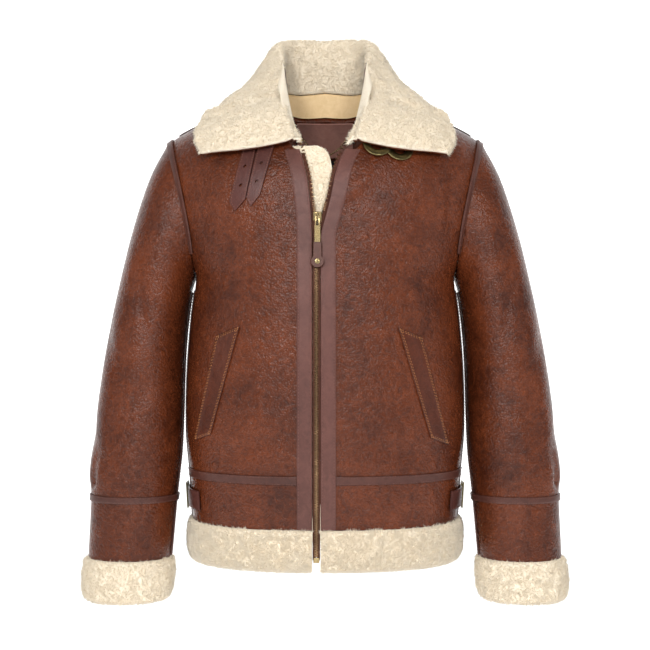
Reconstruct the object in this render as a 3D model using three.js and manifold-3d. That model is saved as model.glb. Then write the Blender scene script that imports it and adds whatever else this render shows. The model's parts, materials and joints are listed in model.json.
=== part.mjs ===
// Sheepskin flying jacket, hollow and filled out as it is when worn: open at the neck, hem and cuffs.
// Millimetres, +Z up, the front looks along -Y, and the wearer's left is at +X.
// The origin is midway between the tops of the shoulder seams, where the wearer carries the jacket.
import * as THREE from "three";
import { mergeVertices } from "three/addons/utils/BufferGeometryUtils.js";
import Module from "manifold-3d";

const wasm = await Module();
wasm.setup();

// Driving sizes
const hide = 7; // skin with the fleece on its inside
const seamGap = 0.3; // between pieces that are sewn edge to edge
const layGap = 0.8; // between a panel and what lies on it
const bindThick = 1.3; // binding strips and plackets
const bindWide = 12;
const strapThick = 2.4;

// Heights on the body
const waistZ = -546; // waist seam
const bandEndZ = -616; // lower edge of the waistband's skin
const hemZ = -672;
const underarmZ = -258;
const armholeMidZ = -159.5;
const armholeHalf = armholeMidZ - underarmZ;
const wristZ = -584;
const cuffEndZ = -673;
const cuffHemZ = -733;

// Body sections: half the width, and how far the front and back stand out
const squareness = 2.3; // of the body's sections: 2 is an ellipse
const bodyRows = [
  { z: -680, half: 196, front: 140, back: 124 },
  { z: -616, half: 197, front: 142, back: 126 },
  { z: -546, half: 201, front: 147, back: 127 },
  { z: -487, half: 206, front: 150, back: 128 },
  { z: -400, half: 205, front: 152, back: 130 },
  { z: -320, half: 199, front: 152, back: 133 },
  { z: -258, half: 192, front: 151, back: 135 },
  { z: -160, half: 192, front: 148, back: 134 },
];

// Top of the shoulder, from the neck's middle to the armhole
const shoulderX = 235;
const shoulderRows = [
  { x: 0, z: 8 },
  { x: 80, z: 0 },
  { x: 130, z: -13 },
  { x: 189, z: -34 },
  { x: 220, z: -50 },
  { x: 235, z: -61 },
];

// Neckline: how far up the shoulder's arch the front and back reach, by share of the half width
const neckShare = 0.3; // where the shoulder seam meets the neck
const neckRows = [
  { share: 0, front: 0.47, back: 0.893 },
  { share: 0.15, front: 0.47, back: 0.9 },
  { share: 0.23, front: 0.6, back: 0.93 },
  { share: 0.275, front: 0.79, back: 0.965 },
  { share: 0.3, front: 1, back: 1 },
];

// Armhole: an upright oval that leans outwards towards the shoulder
const armholeDeep = 72;
const armholeBow = 7;
const armholeX = (rise) => 213.5 + 21.5 * rise - armholeBow * (1 - rise * rise);

// Edges of the front opening, closed below the slider and parted above it
const openingRows = [
  { z: -700, right: -18, left: -6 },
  { z: -420, right: -18, left: -6 },
  { z: -232, right: -18, left: -6 },
  { z: -205, right: -18, left: -5.8 },
  { z: -175, right: -19.4, left: 2 },
  { z: -150, right: -22, left: 8.3 },
  { z: -124, right: -25, left: 13.3 },
  { z: -99, right: -31.5, left: 21 },
  { z: -80, right: -37, left: 31 },
  { z: -60, right: -46, left: 44 },
];
const zipX = -12;
const tapeWide = 5.4;
const placketWide = 21;

// Sleeve sections: outer and inner point seen from the front, half the depth, and the middle's depth
const sleeveRows = [
  { at: 0, outX: 235, outZ: -61, inX: 192, inZ: -258, deep: 72, mid: 0 },
  { at: 1, outX: 262, outZ: -112, inX: 200, inZ: -284, deep: 73, mid: 0 },
  { at: 2, outX: 287, outZ: -188, inX: 205.5, inZ: -322, deep: 71, mid: 0 },
  { at: 3, outX: 306, outZ: -265, inX: 209.5, inZ: -366, deep: 69, mid: -1 },
  { at: 4, outX: 324, outZ: -350, inX: 211.5, inZ: -415, deep: 67, mid: -3 },
  { at: 5, outX: 337, outZ: -435, inX: 212.5, inZ: -465, deep: 64, mid: -6 },
  { at: 6, outX: 346, outZ: -510, inX: 214.5, inZ: -517, deep: 61, mid: -10 },
  { at: 7, outX: 350, outZ: -552, inX: 218, inZ: -552, deep: 58, mid: -12 },
  { at: 8, outX: 347.5, outZ: wristZ, inX: 221.5, inZ: wristZ, deep: 56, mid: -13 },
  { at: 9, outX: 351.5, outZ: cuffEndZ, inX: 229.5, inZ: cuffEndZ, deep: 54, mid: -14 },
];
const wristAt = 8;
const cuffEndAt = 9;

// The tuck above each wrist seam
const tuck = { turn: 62, wide: 9, deep: 7, startAt: 6 };

// Collar sections from the middle of the back, 0, to the front end, 1. Band is the height below the
// fleece, crest the top of the roll and fall the fall's middle. The outer edge's place on the body is
// edgeShare of the half width, at edgeArch degrees over the shoulder from the front.
const collarThick = 8;
const collarRows = [
  [0, 38, [0, 84, 111], [0, 112, 36], 0, 137, 13],
  [0.25, 36, [48, 72, 109], [72, 106, 36], 0.37, 136, 13],
  [0.45, 30, [69, 38, 95], [111, 66, 36], 0.66, 132, 13],
  [0.6, 24, [67, -5, 58], [125, 12, 21], 0.715, 114, 13],
  [0.75, 16, [61, -50, 14], [132, -42, 1], 0.7, 82, 12],
  [0.9, 8, [51, -100, -39], [126, -99, -50], 0.79, 46, 10],
  [1, 3, [42, -133, -71], [106, -136, -83], 0.765, 31, 8],
].map(([at, band, crest, fall, edgeShare, edgeArch, roll]) => {
  const [crestX, crestY, crestZ] = crest;
  const [fallX, fallY, fallZ] = fall;
  return { at, band, crestX, crestY, crestZ, fallX, fallY, fallZ, edgeShare, edgeArch, roll };
});

// Pocket welts, as seen from the front
const weltRows = [
  { name: "right", topX: -135, topZ: -338.5, endX: -173, endZ: -490, topWide: 33, endWide: 24 },
  { name: "left", topX: 118, topZ: -340.5, endX: 161, endZ: -494.5, topWide: 33, endWide: 26 },
];
const weltThick = 3;

// Collar straps with their holes and pointed ends, as seen from the front
const collarStraps = [
  { name: "outer", topX: -100.5, topZ: -62, endX: -124.5, endZ: -170, topWide: 17.8, endWide: 22.5 },
  { name: "inner", topX: -77, topZ: -60, endX: -102.5, endZ: -164, topWide: 24.5, endWide: 18.6 },
];
const strapPoint = 0.87; // where a strap begins to narrow, as a share of its length
const strapHoles = [0.435, 0.68];

// Collar rings under the left front of the collar
const collarRings = [
  { name: "inner", x: 72.5, z: -78.5, lift: 5.6 },
  { name: "outer", x: 103.5, z: -82.5, lift: 3 },
];
const ringOuter = 20.5;
const ringInner = 10;
const ringThick = 2.2;

// Zip slider and pull
const slider = { x: -10.5, z: -179.5, wide: 11.5, tall: 12, plate: 2 };
const bridge = { wide: 2.4, bar: 1.3, gap: 3, top: 4.8, bottom: -1.4 }; // heights from the slider's middle
const pullTilt = 4; // the front holds the pull this far off the plumb line
const pull = {
  barRadius: 0.9,
  eyeWide: 3.1,
  plateWide: 7.8,
  plateEnd: -39,
  leatherTop: -36,
  leatherWide: 10.8,
};
const pullEnd = { middle: -62.5, radius: 8.7, thick: 4.6, rivetRadius: 3.9 };

const colours = {
  skin: 0x6e3a26,
  binding: 0x57342f,
  fleece: 0xe9dcc3,
  suede: 0xd9bd92,
  brass: 0x8f7a4d,
  tape: 0x7b3f2c,
  label: 0x1b1d1f,
};
const finishes = Object.fromEntries(
  Object.entries(colours).map(([name, color]) => [
    name,
    new THREE.MeshStandardMaterial({
      color,
      roughness: name === "fleece" ? 0.95 : name === "brass" ? 0.35 : 0.5,
      metalness: name === "brass" ? 0.9 : 0,
    }),
  ]),
);

const jacket = new THREE.Group();
const vec = (x, y, z) => new THREE.Vector3(x, y, z);
const rad = THREE.MathUtils.degToRad;
const deg = THREE.MathUtils.radToDeg;
const mix = THREE.MathUtils.lerp;
const steps = (from, to, count) => Array.from({ length: count + 1 }, (_, i) => mix(from, to, i / count));
const sideOf = { right: -1, left: 1 };

// One column of a table at a place between its rows, on a smooth curve, and straight on past its ends.
function smooth(table, key, column, at) {
  const last = table.length - 1;
  let i = 0;
  while (i < last - 1 && at > table[i + 1][key]) i++;
  const slope = (k) => {
    const before = table[Math.max(k - 1, 0)];
    const after = table[Math.min(k + 1, last)];
    return (after[column] - before[column]) / (after[key] - before[key]);
  };
  const low = table[i];
  const high = table[i + 1];
  const span = high[key] - low[key];
  const t = (at - low[key]) / span;
  if (t < 0) return low[column] + slope(i) * (at - low[key]);
  if (t > 1) return high[column] + slope(i + 1) * (at - high[key]);
  return (
    low[column] * (1 + 2 * t) * (1 - t) ** 2 +
    slope(i) * span * t * (1 - t) ** 2 +
    high[column] * t * t * (3 - 2 * t) +
    slope(i + 1) * span * t * t * (t - 1)
  );
}

// The body's surface. Turn is the angle round it, 0 at the front and 90 at the wearer's left.
// Level is 0 at the underarm, 1 half way up the armhole and 2 on top of the shoulder.
const levelOf = (z) => 1 + (z - armholeMidZ) / armholeHalf;
function body(turn, level) {
  const across = Math.sin(rad(turn));
  const along = Math.cos(rad(turn));
  const share = Math.abs(across) ** (2 / squareness);
  const side = across < 0 ? -1 : 1;
  const face = along < 0 ? 1 : -1;
  const depthColumn = along < 0 ? "back" : "front";
  const rise = level <= 1 ? level - 1 : Math.sin(rad(90 * (level - 1)));
  const z = armholeMidZ + armholeHalf * Math.min(rise, 0);
  const depth = smooth(bodyRows, "z", depthColumn, z);
  if (level <= 0) {
    const half = smooth(bodyRows, "z", "half", z);
    return vec(side * share * half, face * depth * Math.abs(along) ** (2 / squareness), z);
  }
  const fold = level <= 1 ? 1 : Math.cos(rad(90 * (level - 1)));
  const reach = 0.93 + 0.07 * Math.min(rise, 0) ** 2;
  const edge = armholeDeep * Math.sqrt(1 - Math.min(rise, 0) ** 2);
  const round = (q) => Math.max(0, 1 - q ** squareness) ** (1 / squareness);
  const swell = (round(share * reach) - round(reach)) / (1 - round(reach));
  const top = level <= 1 ? 0 : smooth(shoulderRows, "x", "z", shoulderX * share) - armholeMidZ;
  return vec(
    side * share * armholeX(rise),
    face * (edge + (depth - edge) * swell) * fold,
    level <= 1 ? z : armholeMidZ + top * rise,
  );
}

// The outward direction at a place on the body. At an armhole's edge it lies in the armhole's plane.
const armholeUp = vec(armholeX(1) - armholeX(-1), 0, 2 * armholeHalf).normalize();
function bodyNormal(turn, level) {
  const across = Math.sin(rad(turn));
  if (level > -1e-6 && Math.abs(across) > 1 - 1e-9) {
    const rise = level <= 1 ? level - 1 : Math.sin(rad(90 * (level - 1)));
    const front = (Math.cos(rad(turn)) < 0 ? 1 : -1) * Math.sqrt(Math.max(0, 1 - rise * rise));
    return vec(Math.sign(across) * armholeUp.x * rise, front, armholeUp.z * rise).normalize();
  }
  const round = body(turn + 0.05, level).sub(body(turn - 0.05, level));
  const up = body(turn, level + 0.002).sub(body(turn, level - 0.002));
  return round.cross(up).normalize();
}
const onBody = ([turn, level], lift) => body(turn, level).addScaledVector(bodyNormal(turn, level), lift);

// The turn and level of a point seen from the front, or through the body on its back.
function placeAt(x, z, back = false) {
  let level = levelOf(z);
  let half = level <= 0 ? smooth(bodyRows, "z", "half", z) : armholeX(Math.min(level - 1, 0));
  if (level > 1) {
    let share = Math.abs(x) / half;
    let rise = 0;
    for (let pass = 0; pass < 12; pass++) {
      const top = smooth(shoulderRows, "x", "z", shoulderX * share);
      rise = Math.min(0.9999, (z - armholeMidZ) / (top - armholeMidZ));
      half = armholeX(rise);
      share = Math.min(1, Math.abs(x) / half);
    }
    level = 1 + deg(Math.asin(rise)) / 90;
  }
  const turn = Math.sign(x) * deg(Math.asin(Math.min(1, Math.abs(x) / half) ** (squareness / 2)));
  return [back ? 180 - turn : turn, level];
}

// A closed solid between two sheets of points, each [row][column]; round joins the last column to the first.
function between(outer, inner, round = false) {
  const rows = outer.length;
  const columns = outer[0].length;
  const position = [...outer, ...inner].flat().flatMap((p) => [p.x, p.y, p.z]);
  const index = [];
  const id = (sheet, row, column) => (sheet * rows + row) * columns + (column % columns);
  const quad = (a, b, c, d) => index.push(a, b, c, a, c, d);
  const spans = round ? columns : columns - 1;
  for (let i = 0; i < rows - 1; i++)
    for (let j = 0; j < spans; j++) {
      quad(id(0, i, j), id(0, i, j + 1), id(0, i + 1, j + 1), id(0, i + 1, j));
      quad(id(1, i, j), id(1, i + 1, j), id(1, i + 1, j + 1), id(1, i, j + 1));
    }
  for (let j = 0; j < spans; j++) {
    quad(id(1, 0, j), id(1, 0, j + 1), id(0, 0, j + 1), id(0, 0, j));
    quad(id(0, rows - 1, j), id(0, rows - 1, j + 1), id(1, rows - 1, j + 1), id(1, rows - 1, j));
  }
  for (let i = 0; !round && i < rows - 1; i++) {
    quad(id(0, i, 0), id(0, i + 1, 0), id(1, i + 1, 0), id(1, i, 0));
    quad(id(1, i, columns - 1), id(1, i + 1, columns - 1), id(0, i + 1, columns - 1), id(0, i, columns - 1));
  }
  return facingOut(position, index);
}

// A closed solid through loops of points. Round joins the last loop to the first. Else its ends are capped.
function through(loops, round = false) {
  const count = loops[0].length;
  const position = loops.flat().flatMap((p) => [p.x, p.y, p.z]);
  const index = [];
  const id = (loop, k) => (loop % loops.length) * count + (k % count);
  for (let i = 0; i < (round ? loops.length : loops.length - 1); i++)
    for (let k = 0; k < count; k++)
      index.push(id(i, k), id(i, k + 1), id(i + 1, k + 1), id(i, k), id(i + 1, k + 1), id(i + 1, k));
  for (let k = 1; !round && k < count - 1; k++) {
    index.push(id(0, 0), id(0, k + 1), id(0, k));
    index.push(id(loops.length - 1, 0), id(loops.length - 1, k), id(loops.length - 1, k + 1));
  }
  return facingOut(position, index);
}

function facingOut(position, index) {
  const p = (i) => vec(position[3 * i], position[3 * i + 1], position[3 * i + 2]);
  let volume = 0;
  for (let i = 0; i < index.length; i += 3)
    volume += p(index[i]).dot(p(index[i + 1]).cross(p(index[i + 2])));
  if (volume < 0)
    for (let i = 0; i < index.length; i += 3) [index[i], index[i + 1]] = [index[i + 1], index[i]];
  const geometry = new THREE.BufferGeometry();
  geometry.setAttribute("position", new THREE.Float32BufferAttribute(position, 3));
  geometry.setIndex(index);
  geometry.computeVertexNormals();
  return geometry;
}

// Joins or cuts closed geometries.
function solidOf(geometry) {
  const bare = geometry.clone();
  bare.deleteAttribute("normal");
  bare.deleteAttribute("uv");
  const merged = mergeVertices(bare, 1e-4);
  return new wasm.Manifold(
    new wasm.Mesh({
      numProp: 3,
      vertProperties: merged.attributes.position.array,
      triVerts: new Uint32Array(merged.index.array),
    }),
  );
}
function geometryOf(solid) {
  const mesh = solid.getMesh();
  const geometry = new THREE.BufferGeometry();
  geometry.setAttribute("position", new THREE.BufferAttribute(mesh.vertProperties, 3));
  geometry.setIndex([...mesh.triVerts]);
  return geometry.toNonIndexed();
}
const joined = (first, ...rest) =>
  geometryOf(rest.reduce((made, next) => made.add(solidOf(next)), solidOf(first)));
const cut = (first, ...rest) =>
  geometryOf(rest.reduce((made, next) => made.subtract(solidOf(next)), solidOf(first)));

function add(name, finish, geometry) {
  const mesh = new THREE.Mesh(geometry, finishes[finish]);
  mesh.name = name;
  mesh.geometry.computeVertexNormals();
  jacket.add(mesh);
  return mesh;
}

// A wall that follows the body: its outside lies at lift and its inside at lift - thick.
const bodyWall = (places, lift, thick) =>
  between(
    places.map((row) => row.map((place) => onBody(place, lift))),
    places.map((row) => row.map((place) => onBody(place, lift - thick))),
  );

// How far up the neckline lets the front or back reach at a share of the half width, as a level.
function neckLevel(share, column) {
  if (share >= neckShare - 1e-4) return 2;
  return 1 + deg(Math.asin(Math.min(1, smooth(neckRows, "share", column, share)))) / 90;
}
const shareOf = (turn) => Math.abs(Math.sin(rad(turn))) ** (2 / squareness);
const turnOf = (share) => deg(Math.asin(share ** (squareness / 2)));
const cornerTurn = turnOf(neckShare);

// Where a front's edge lies at a level, as a turn; edge is a column of openingRows.
function edgeTurn(edge, level, inset = 0) {
  const rise = level <= 1 ? level - 1 : Math.sin(rad(90 * (level - 1)));
  const z = armholeMidZ + (level <= 1 ? armholeHalf : 6 - armholeMidZ) * rise;
  return placeAt(smooth(openingRows, "z", edge, z) + inset, z)[0];
}

const bodyLevels = steps(levelOf(waistZ + seamGap / 2), 0, 5);
const armLevels = steps(0, 1, 4).slice(1);
const topShares = steps(0, 1, 6).slice(1);
const bandLevels = [waistZ - seamGap / 2, -580, bandEndZ + seamGap / 2].map(levelOf);
const underCorner = [0, 0.4, 0.68, 0.86, 1];
const pastCorner = [0.18, 0.37, 0.54, 0.69, 0.82, 0.91, 0.965, 1];
const seamTurn = 0.08; // half of seamGap, as a turn at the side seam
const seamLevel = 0.0016; // half of seamGap, as a level at the shoulder seam

// The places of a front's row, from its front edge past the neck's corner to its side.
function frontRow(name, level, sideInset = 0) {
  const side = sideOf[name];
  const edge = edgeTurn(name, level);
  return [
    ...underCorner.map((share) => [mix(edge, side * cornerTurn, share), level]),
    ...pastCorner.map((share) => [mix(side * cornerTurn, side * (90 - sideInset), share), level]),
  ];
}
function backRow(level, sideInset = 0) {
  const corner = 180 - cornerTurn;
  const half = [
    ...pastCorner.map((share) => mix(90 + Math.max(sideInset, 0.0004), corner, 1 - share)).reverse(),
    ...underCorner.map((share) => mix(corner, 180, share)),
  ];
  return [...half, ...half.slice(0, -1).map((turn) => 360 - turn).reverse()].map((turn) => [turn, level]);
}
// Rows above the armhole's middle end at the neckline or at the shoulder seam.
const raised = (row, column) =>
  topShares.map((share) =>
    row.map(([turn]) => [turn, mix(1, neckLevel(shareOf(turn), column) - seamLevel, share)]),
  );

for (const name of ["right", "left"]) {
  const places = [
    ...bodyLevels.map((level) => frontRow(name, level, level < 0 ? seamTurn : 0)),
    ...armLevels.map((level) => frontRow(name, level)),
    ...raised(frontRow(name, 1), "front").map((row, i) => {
      const edge = edgeTurn(name, row[0][1]);
      return row.map(([turn, level], j) => {
        const share = underCorner[j] ?? 1;
        return [mix(edge, sideOf[name] * cornerTurn, share) * (share < 1) + turn * (share >= 1), level];
      });
    }),
  ];
  add(`front_${name}`, "skin", bodyWall(places, 0, hide));
  const bandRows = bandLevels.map((level) => frontRow(name, level, seamTurn));
  add(`waistband_front_${name}`, "skin", bodyWall(bandRows, 0, hide));
}
add("back", "skin", bodyWall([
  ...bodyLevels.map((level) => backRow(level, level < 0 ? seamTurn : 0)),
  ...armLevels.map((level) => backRow(level)),
  ...raised(backRow(1), "back"),
], 0, hide));
add("waistband_back", "skin", bodyWall(bandLevels.map((level) => backRow(level, seamTurn)), 0, hide));

// Fleece bands are thick and rounded at their edges: down is how far along the band, 0 to 1.
const fleeceRows = [
  { down: 0, out: 0.5, in: -hide },
  { down: 0.06, out: 5, in: -hide - 3 },
  { down: 0.35, out: 7.5, in: -hide - 5 },
  { down: 0.75, out: 7, in: -hide - 5 },
  { down: 0.95, out: 3.5, in: -hide - 2 },
  { down: 1, out: -1, in: -hide + 1.5 },
];
const hemTop = bandEndZ - seamGap / 2;
function hemFleece(name, row) {
  const sheet = (column) =>
    fleeceRows.map((size) => {
      const level = levelOf(mix(hemTop, hemZ, size.down));
      return row(level).map((place) => onBody(place, size[column]));
    });
  add(name, "fleece", between(sheet("out"), sheet("in")));
}
hemFleece("hem_fleece_right", (level) => frontRow("right", level, seamTurn));
hemFleece("hem_fleece_left", (level) => frontRow("left", level, seamTurn));
hemFleece("hem_fleece_back", (level) => backRow(level, seamTurn));

// The turn whose place lies a given distance from the side or armhole edge, in front of it or behind it.
function turnFromEdge(level, distance, back) {
  const edge = body(90, level);
  if (back) edge.y = body(90.0004, level).y;
  let near = 0;
  let far = 60;
  for (let pass = 0; pass < 30; pass++) {
    const middle = (near + far) / 2;
    if (body(back ? 90 + middle : 90 - middle, level).distanceTo(edge) < distance) near = middle;
    else far = middle;
  }
  return back ? 90 + near : 90 - near;
}
const mirrored = (side, turn) => (side > 0 ? turn : turn <= 90 ? -turn : 360 - turn);

// Plackets beside the zip, and the tapes in the opening
const stripThick = layGap + bindThick; // how far a strip stands off a panel
const placketLevels = [levelOf(bandEndZ + 1), -3.2, -2.4, -1.6, -0.8, 0, 0.4, 0.8, 1.05, 1.16, 1.24, 1.3];
const tapeLevels = [
  ...[-657, -616, -570].map(levelOf),
  ...[-2.6, -1.8, -1, -0.4, 0, 0.3, 0.5, 0.62, 0.74, 0.86, 0.98, 1.1, 1.2, 1.28],
];
for (const name of ["right", "left"]) {
  const side = sideOf[name];
  const strip = (levels, from, to, columns) =>
    levels.map((level) =>
      steps(from, to, columns).map((inset) => [edgeTurn(name, level, inset * side), level]),
    );
  const placket = strip(placketLevels, 0, placketWide, 3);
  add(`placket_${name}`, "binding", bodyWall(placket, stripThick, bindThick));
  add(`zip_tape_${name}`, "tape", bodyWall(strip(tapeLevels, -0.8, -tapeWide, 1), -1, 1.6));
}

// Strips over the seams
const waistEdges = [waistZ - bindWide / 2, waistZ + bindWide / 2];
for (const [name, edge] of [["right", -18 - placketWide - 0.5], ["left", -6 + placketWide + 0.5]]) {
  const side = sideOf[name];
  const end = turnFromEdge(levelOf(waistZ), 8.5, false);
  const row = (z) => {
    const from = placeAt(edge, z)[0];
    return steps(from, side * end, 16).map((turn) => [turn, levelOf(z)]);
  };
  add(`waist_trim_${name}`, "binding", bodyWall(waistEdges.map(row), stripThick, bindThick));
}
const backEnd = turnFromEdge(levelOf(waistZ), 8.5, true);
const waistBackRow = (z) => steps(backEnd, 360 - backEnd, 20).map((turn) => [turn, levelOf(z)]);
add("waist_trim_back", "binding", bodyWall(waistEdges.map(waistBackRow), stripThick, bindThick));

for (const name of ["right", "left"]) {
  const side = sideOf[name];
  const sideRow = (z) => {
    const level = levelOf(z);
    const reach = Math.min(7.5, 3 + (underarmZ - z) * 0.5);
    const near = turnFromEdge(level, reach, false);
    const far = turnFromEdge(level, reach, true);
    return [near, 90, far].map((turn) => [side > 0 ? turn : 360 - turn, level]);
  };
  const sideHeights = [bandEndZ + 1, -580, -540, -500, -450, -400, -350, -300, underarmZ - 20];
  add(`side_trim_${name}`, "binding", bodyWall(sideHeights.map(sideRow), stripThick, bindThick));

  const armholeTrim = (level, back) => {
    const near = turnFromEdge(level, 0.8, back);
    const far = turnFromEdge(level, bindWide - 0.5, back);
    return [near, mix(near, far, 0.5), far].map((turn) => [mirrored(side, turn), level]);
  };
  const up = [0.32, 0.46, 0.6, 0.8, 1, 1.2, 1.4, 1.6, 1.8, 1.95];
  add(`armhole_trim_${name}`, "binding", bodyWall([
    ...up.map((level) => armholeTrim(level, false)),
    ...[...up].reverse().map((level) => armholeTrim(level, true)),
  ], stripThick + 0.5, bindThick));

  const seamShares = steps(neckShare + 0.04, 0.925, 8);
  add(`shoulder_trim_${name}`, "binding", bodyWall(
    [1.93, 2, 2.07].map((level) => seamShares.map((share) => [side * turnOf(share), level])),
    stripThick,
    bindThick,
  ));
}

// Sleeves: turn 0 is the front, 90 the outer and upper side, 180 the back and 270 the underarm side
function arm(name, turn, at) {
  const side = sideOf[name];
  const size = (column) => smooth(sleeveRows, "at", column, at);
  const rise = Math.sin(rad(turn));
  const bow = armholeBow * (1 - rise * rise) * Math.max(0, 1 - at) ** 2;
  const off = 3 * seamGap * Math.max(0, 1 - at);
  return vec(
    side * (mix(size("inX"), size("outX"), (1 + rise) / 2) - bow + off),
    size("mid") - size("deep") * Math.cos(rad(turn)),
    mix(size("inZ"), size("outZ"), (1 + rise) / 2) - off / 4,
  );
}
function armNormal(name, turn, at) {
  const rise = Math.sin(rad(turn));
  if (at < 1e-6)
    return vec(sideOf[name] * armholeUp.x * rise, -Math.cos(rad(turn)), armholeUp.z * rise).normalize();
  const round = arm(name, turn + 1, at).sub(arm(name, turn - 1, at));
  const along = arm(name, turn, at + 0.01).sub(arm(name, turn, at - 0.01));
  const normal = round.cross(along).normalize();
  return name === "left" ? normal.negate() : normal;
}
// How deep the tuck folds the sleeve in at a place.
function tuckDepth(turn, at) {
  const off = (turn - tuck.turn - 6 * (at - 7)) / tuck.wide;
  const begin = Math.max(0, Math.min(1, (at - tuck.startAt) / 1.2));
  const end = Math.max(0, Math.min(1, (7.8 - at) * 2.5));
  return tuck.deep * begin * end * Math.exp(-off * off);
}
const onArm = (name, turn, at, lift) =>
  arm(name, turn, at).addScaledVector(armNormal(name, turn, at), lift - tuckDepth(turn, at));
// The first place along the sleeve keeps seamGap from the body's wall.
const armTurns = steps(0, 360, 24).slice(0, -1);
const tube = (name, places, turns = armTurns) =>
  between(
    places.map(([at, out]) => turns.map((turn) => onArm(name, turn, at, out))),
    places.map(([at, , into]) => turns.map((turn) => onArm(name, turn, at, into))),
    true,
  );
for (const name of ["right", "left"]) {
  const side = sideOf[name];
  const rows = [0, 0.25, 0.6, 1.1, 1.8, 2.6, 3.5, 4.5, 5.4, 6, 6.5, 7, 7.5, 7.8, wristAt];
  add(`sleeve_${name}`, "skin", tube(name, rows.map((at) => [at, 0, -hide])));
  add(`cuff_${name}`, "skin", tube(name, [wristAt + 0.005, 8.5, cuffEndAt].map((at) => [at, 0, -hide])));
  const fleeceAt = (down) => cuffEndAt + (seamGap + down * (cuffEndZ - cuffHemZ)) / (wristZ - cuffEndZ);
  const fleecePlaces = fleeceRows.map((size) => [fleeceAt(size.down), size.out, size.in]);
  add(`cuff_fleece_${name}`, "fleece", tube(name, fleecePlaces));
  const seamLift = (turn) => (bindThick + 1.1) * Math.max(0, Math.min(1, 2 - Math.abs(turn - 270) / 12));
  const ring = (lift) =>
    [-0.08, 0.08].map((off) =>
      armTurns.map((turn) => onArm(name, turn, wristAt + off, lift + seamLift(turn))),
    );
  add(`wrist_trim_${name}`, "binding", between(ring(stripThick), ring(layGap), true));
  const seam = (lift) =>
    [0.9, 1.5, 2.5, 3.5, 4.5, 5.5, 6.5, 7.5, 8, 8.5, 8.98].map((at) => {
      const half = deg(6.5 / smooth(sleeveRows, "at", "deep", at));
      return [270 - half, 270, 270 + half].map((turn) => onArm(name, turn, at, lift));
    });
  add(`sleeve_seam_${name}`, "binding", between(seam(stripThick), seam(layGap)));
}

// Neckline from the middle of the back, 0, over the corner at 0.5, to the front edge, 1
function neckline(name, at) {
  const side = sideOf[name];
  if (at <= 0.5) {
    const share = neckShare * (at / 0.5);
    return [side > 0 ? 180 - turnOf(share) : 180 + turnOf(share), neckLevel(share, "back")];
  }
  const low = neckLevel(0.15, "front");
  const edge = Math.abs(edgeTurn(name, low, side * 2));
  const turn = mix(cornerTurn, edge, (at - 0.5) / 0.5);
  return [side * turn, neckLevel(shareOf(turn), "front")];
}
const collarSize = (column, at) => smooth(collarRows, "at", column, at);

// Moves a point out until it lies at least this far off the body.
function clearOfBody(point, gap) {
  for (let pass = 0; pass < 3; pass++) {
    const place = placeAt(point.x, Math.min(point.z, 4), point.y > 0);
    const normal = bodyNormal(...place);
    const off = point.clone().sub(body(...place)).dot(normal);
    if (off < gap) point.addScaledVector(normal, gap - off);
  }
  return point;
}

// The collar's middle sheet: across is 0 at the band's top edge, then the roll, and 1 at the outer edge.
function collarCurve(name, at) {
  const side = sideOf[name];
  const size = (column) => collarSize(column, at);
  const seam = onBody(neckline(name, at), -1);
  const start = seam.clone().add(vec(0, 0, size("band") + 1.5));
  const crest = vec(side * size("crestX"), size("crestY"), size("crestZ"));
  const fall = vec(side * size("fallX"), size("fallY"), size("fallZ"));
  const arch = size("edgeArch");
  const turn = turnOf(size("edgeShare"));
  const edge = onBody(
    arch > 90 ? [side > 0 ? 180 - turn : 180 + turn, 1 + (180 - arch) / 90] : [side * turn, 1 + arch / 90],
    collarThick / 2 + 2,
  );
  const away = vec(fall.x - crest.x, fall.y - crest.y, 0).normalize();
  const roll = size("roll");
  const near = start.clone().lerp(crest, 0.62).addScaledVector(away, -roll * 0.45);
  const far = crest.clone().addScaledVector(away, roll * 1.3).add(vec(0, 0, -roll * 0.7));
  clearOfBody(fall, collarThick / 2 + 3);
  return new THREE.CatmullRomCurve3([start, near, crest, far, fall, edge], false, "centripetal");
}
const collarAcross = [0, 0.1, 0.2, 0.28, 0.36, 0.44, 0.54, 0.66, 0.78, 0.9, 1];
function collarMiddle(name, at, across) {
  const point = collarCurve(name, at).getPoint(across);
  const raise = THREE.MathUtils.smoothstep(at, 0.78, 0.92);
  return across > 0.45 ? clearOfBody(point, collarThick / 2 + mix(3, 9.2, raise)) : point;
}
function collarPoint(name, at, across, lift) {
  const e = 0.01;
  const low = Math.max(0, across - e);
  const high = Math.min(1, across + e);
  const along = collarMiddle(name, at, high).sub(collarMiddle(name, at, low));
  const opposite = name === "right" ? "left" : "right";
  const other = at < e ? opposite : name;
  const back = at < e ? collarMiddle(other, e - at, across) : collarMiddle(name, at - e, across);
  const round = collarMiddle(name, Math.min(1, at + e), across).sub(back);
  const normal = along.cross(round).normalize();
  if (name === "right") normal.negate();
  return collarMiddle(name, at, across).addScaledVector(normal, lift);
}
const collarAts = [1, 0.94, 0.87, 0.79, 0.71, 0.63, 0.55, 0.47, 0.38, 0.28, 0.18, 0.09];
const collarWay = [
  ...collarAts.map((at) => ["right", at]),
  ["right", 0],
  ...[...collarAts].reverse().map((at) => ["left", at]),
];
const collarSheet = (lift) =>
  collarAcross.map((across) => collarWay.map(([name, at]) => collarPoint(name, at, across, lift)));
add("collar", "fleece", between(collarSheet(collarThick / 2), collarSheet(-collarThick / 2)));

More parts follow.
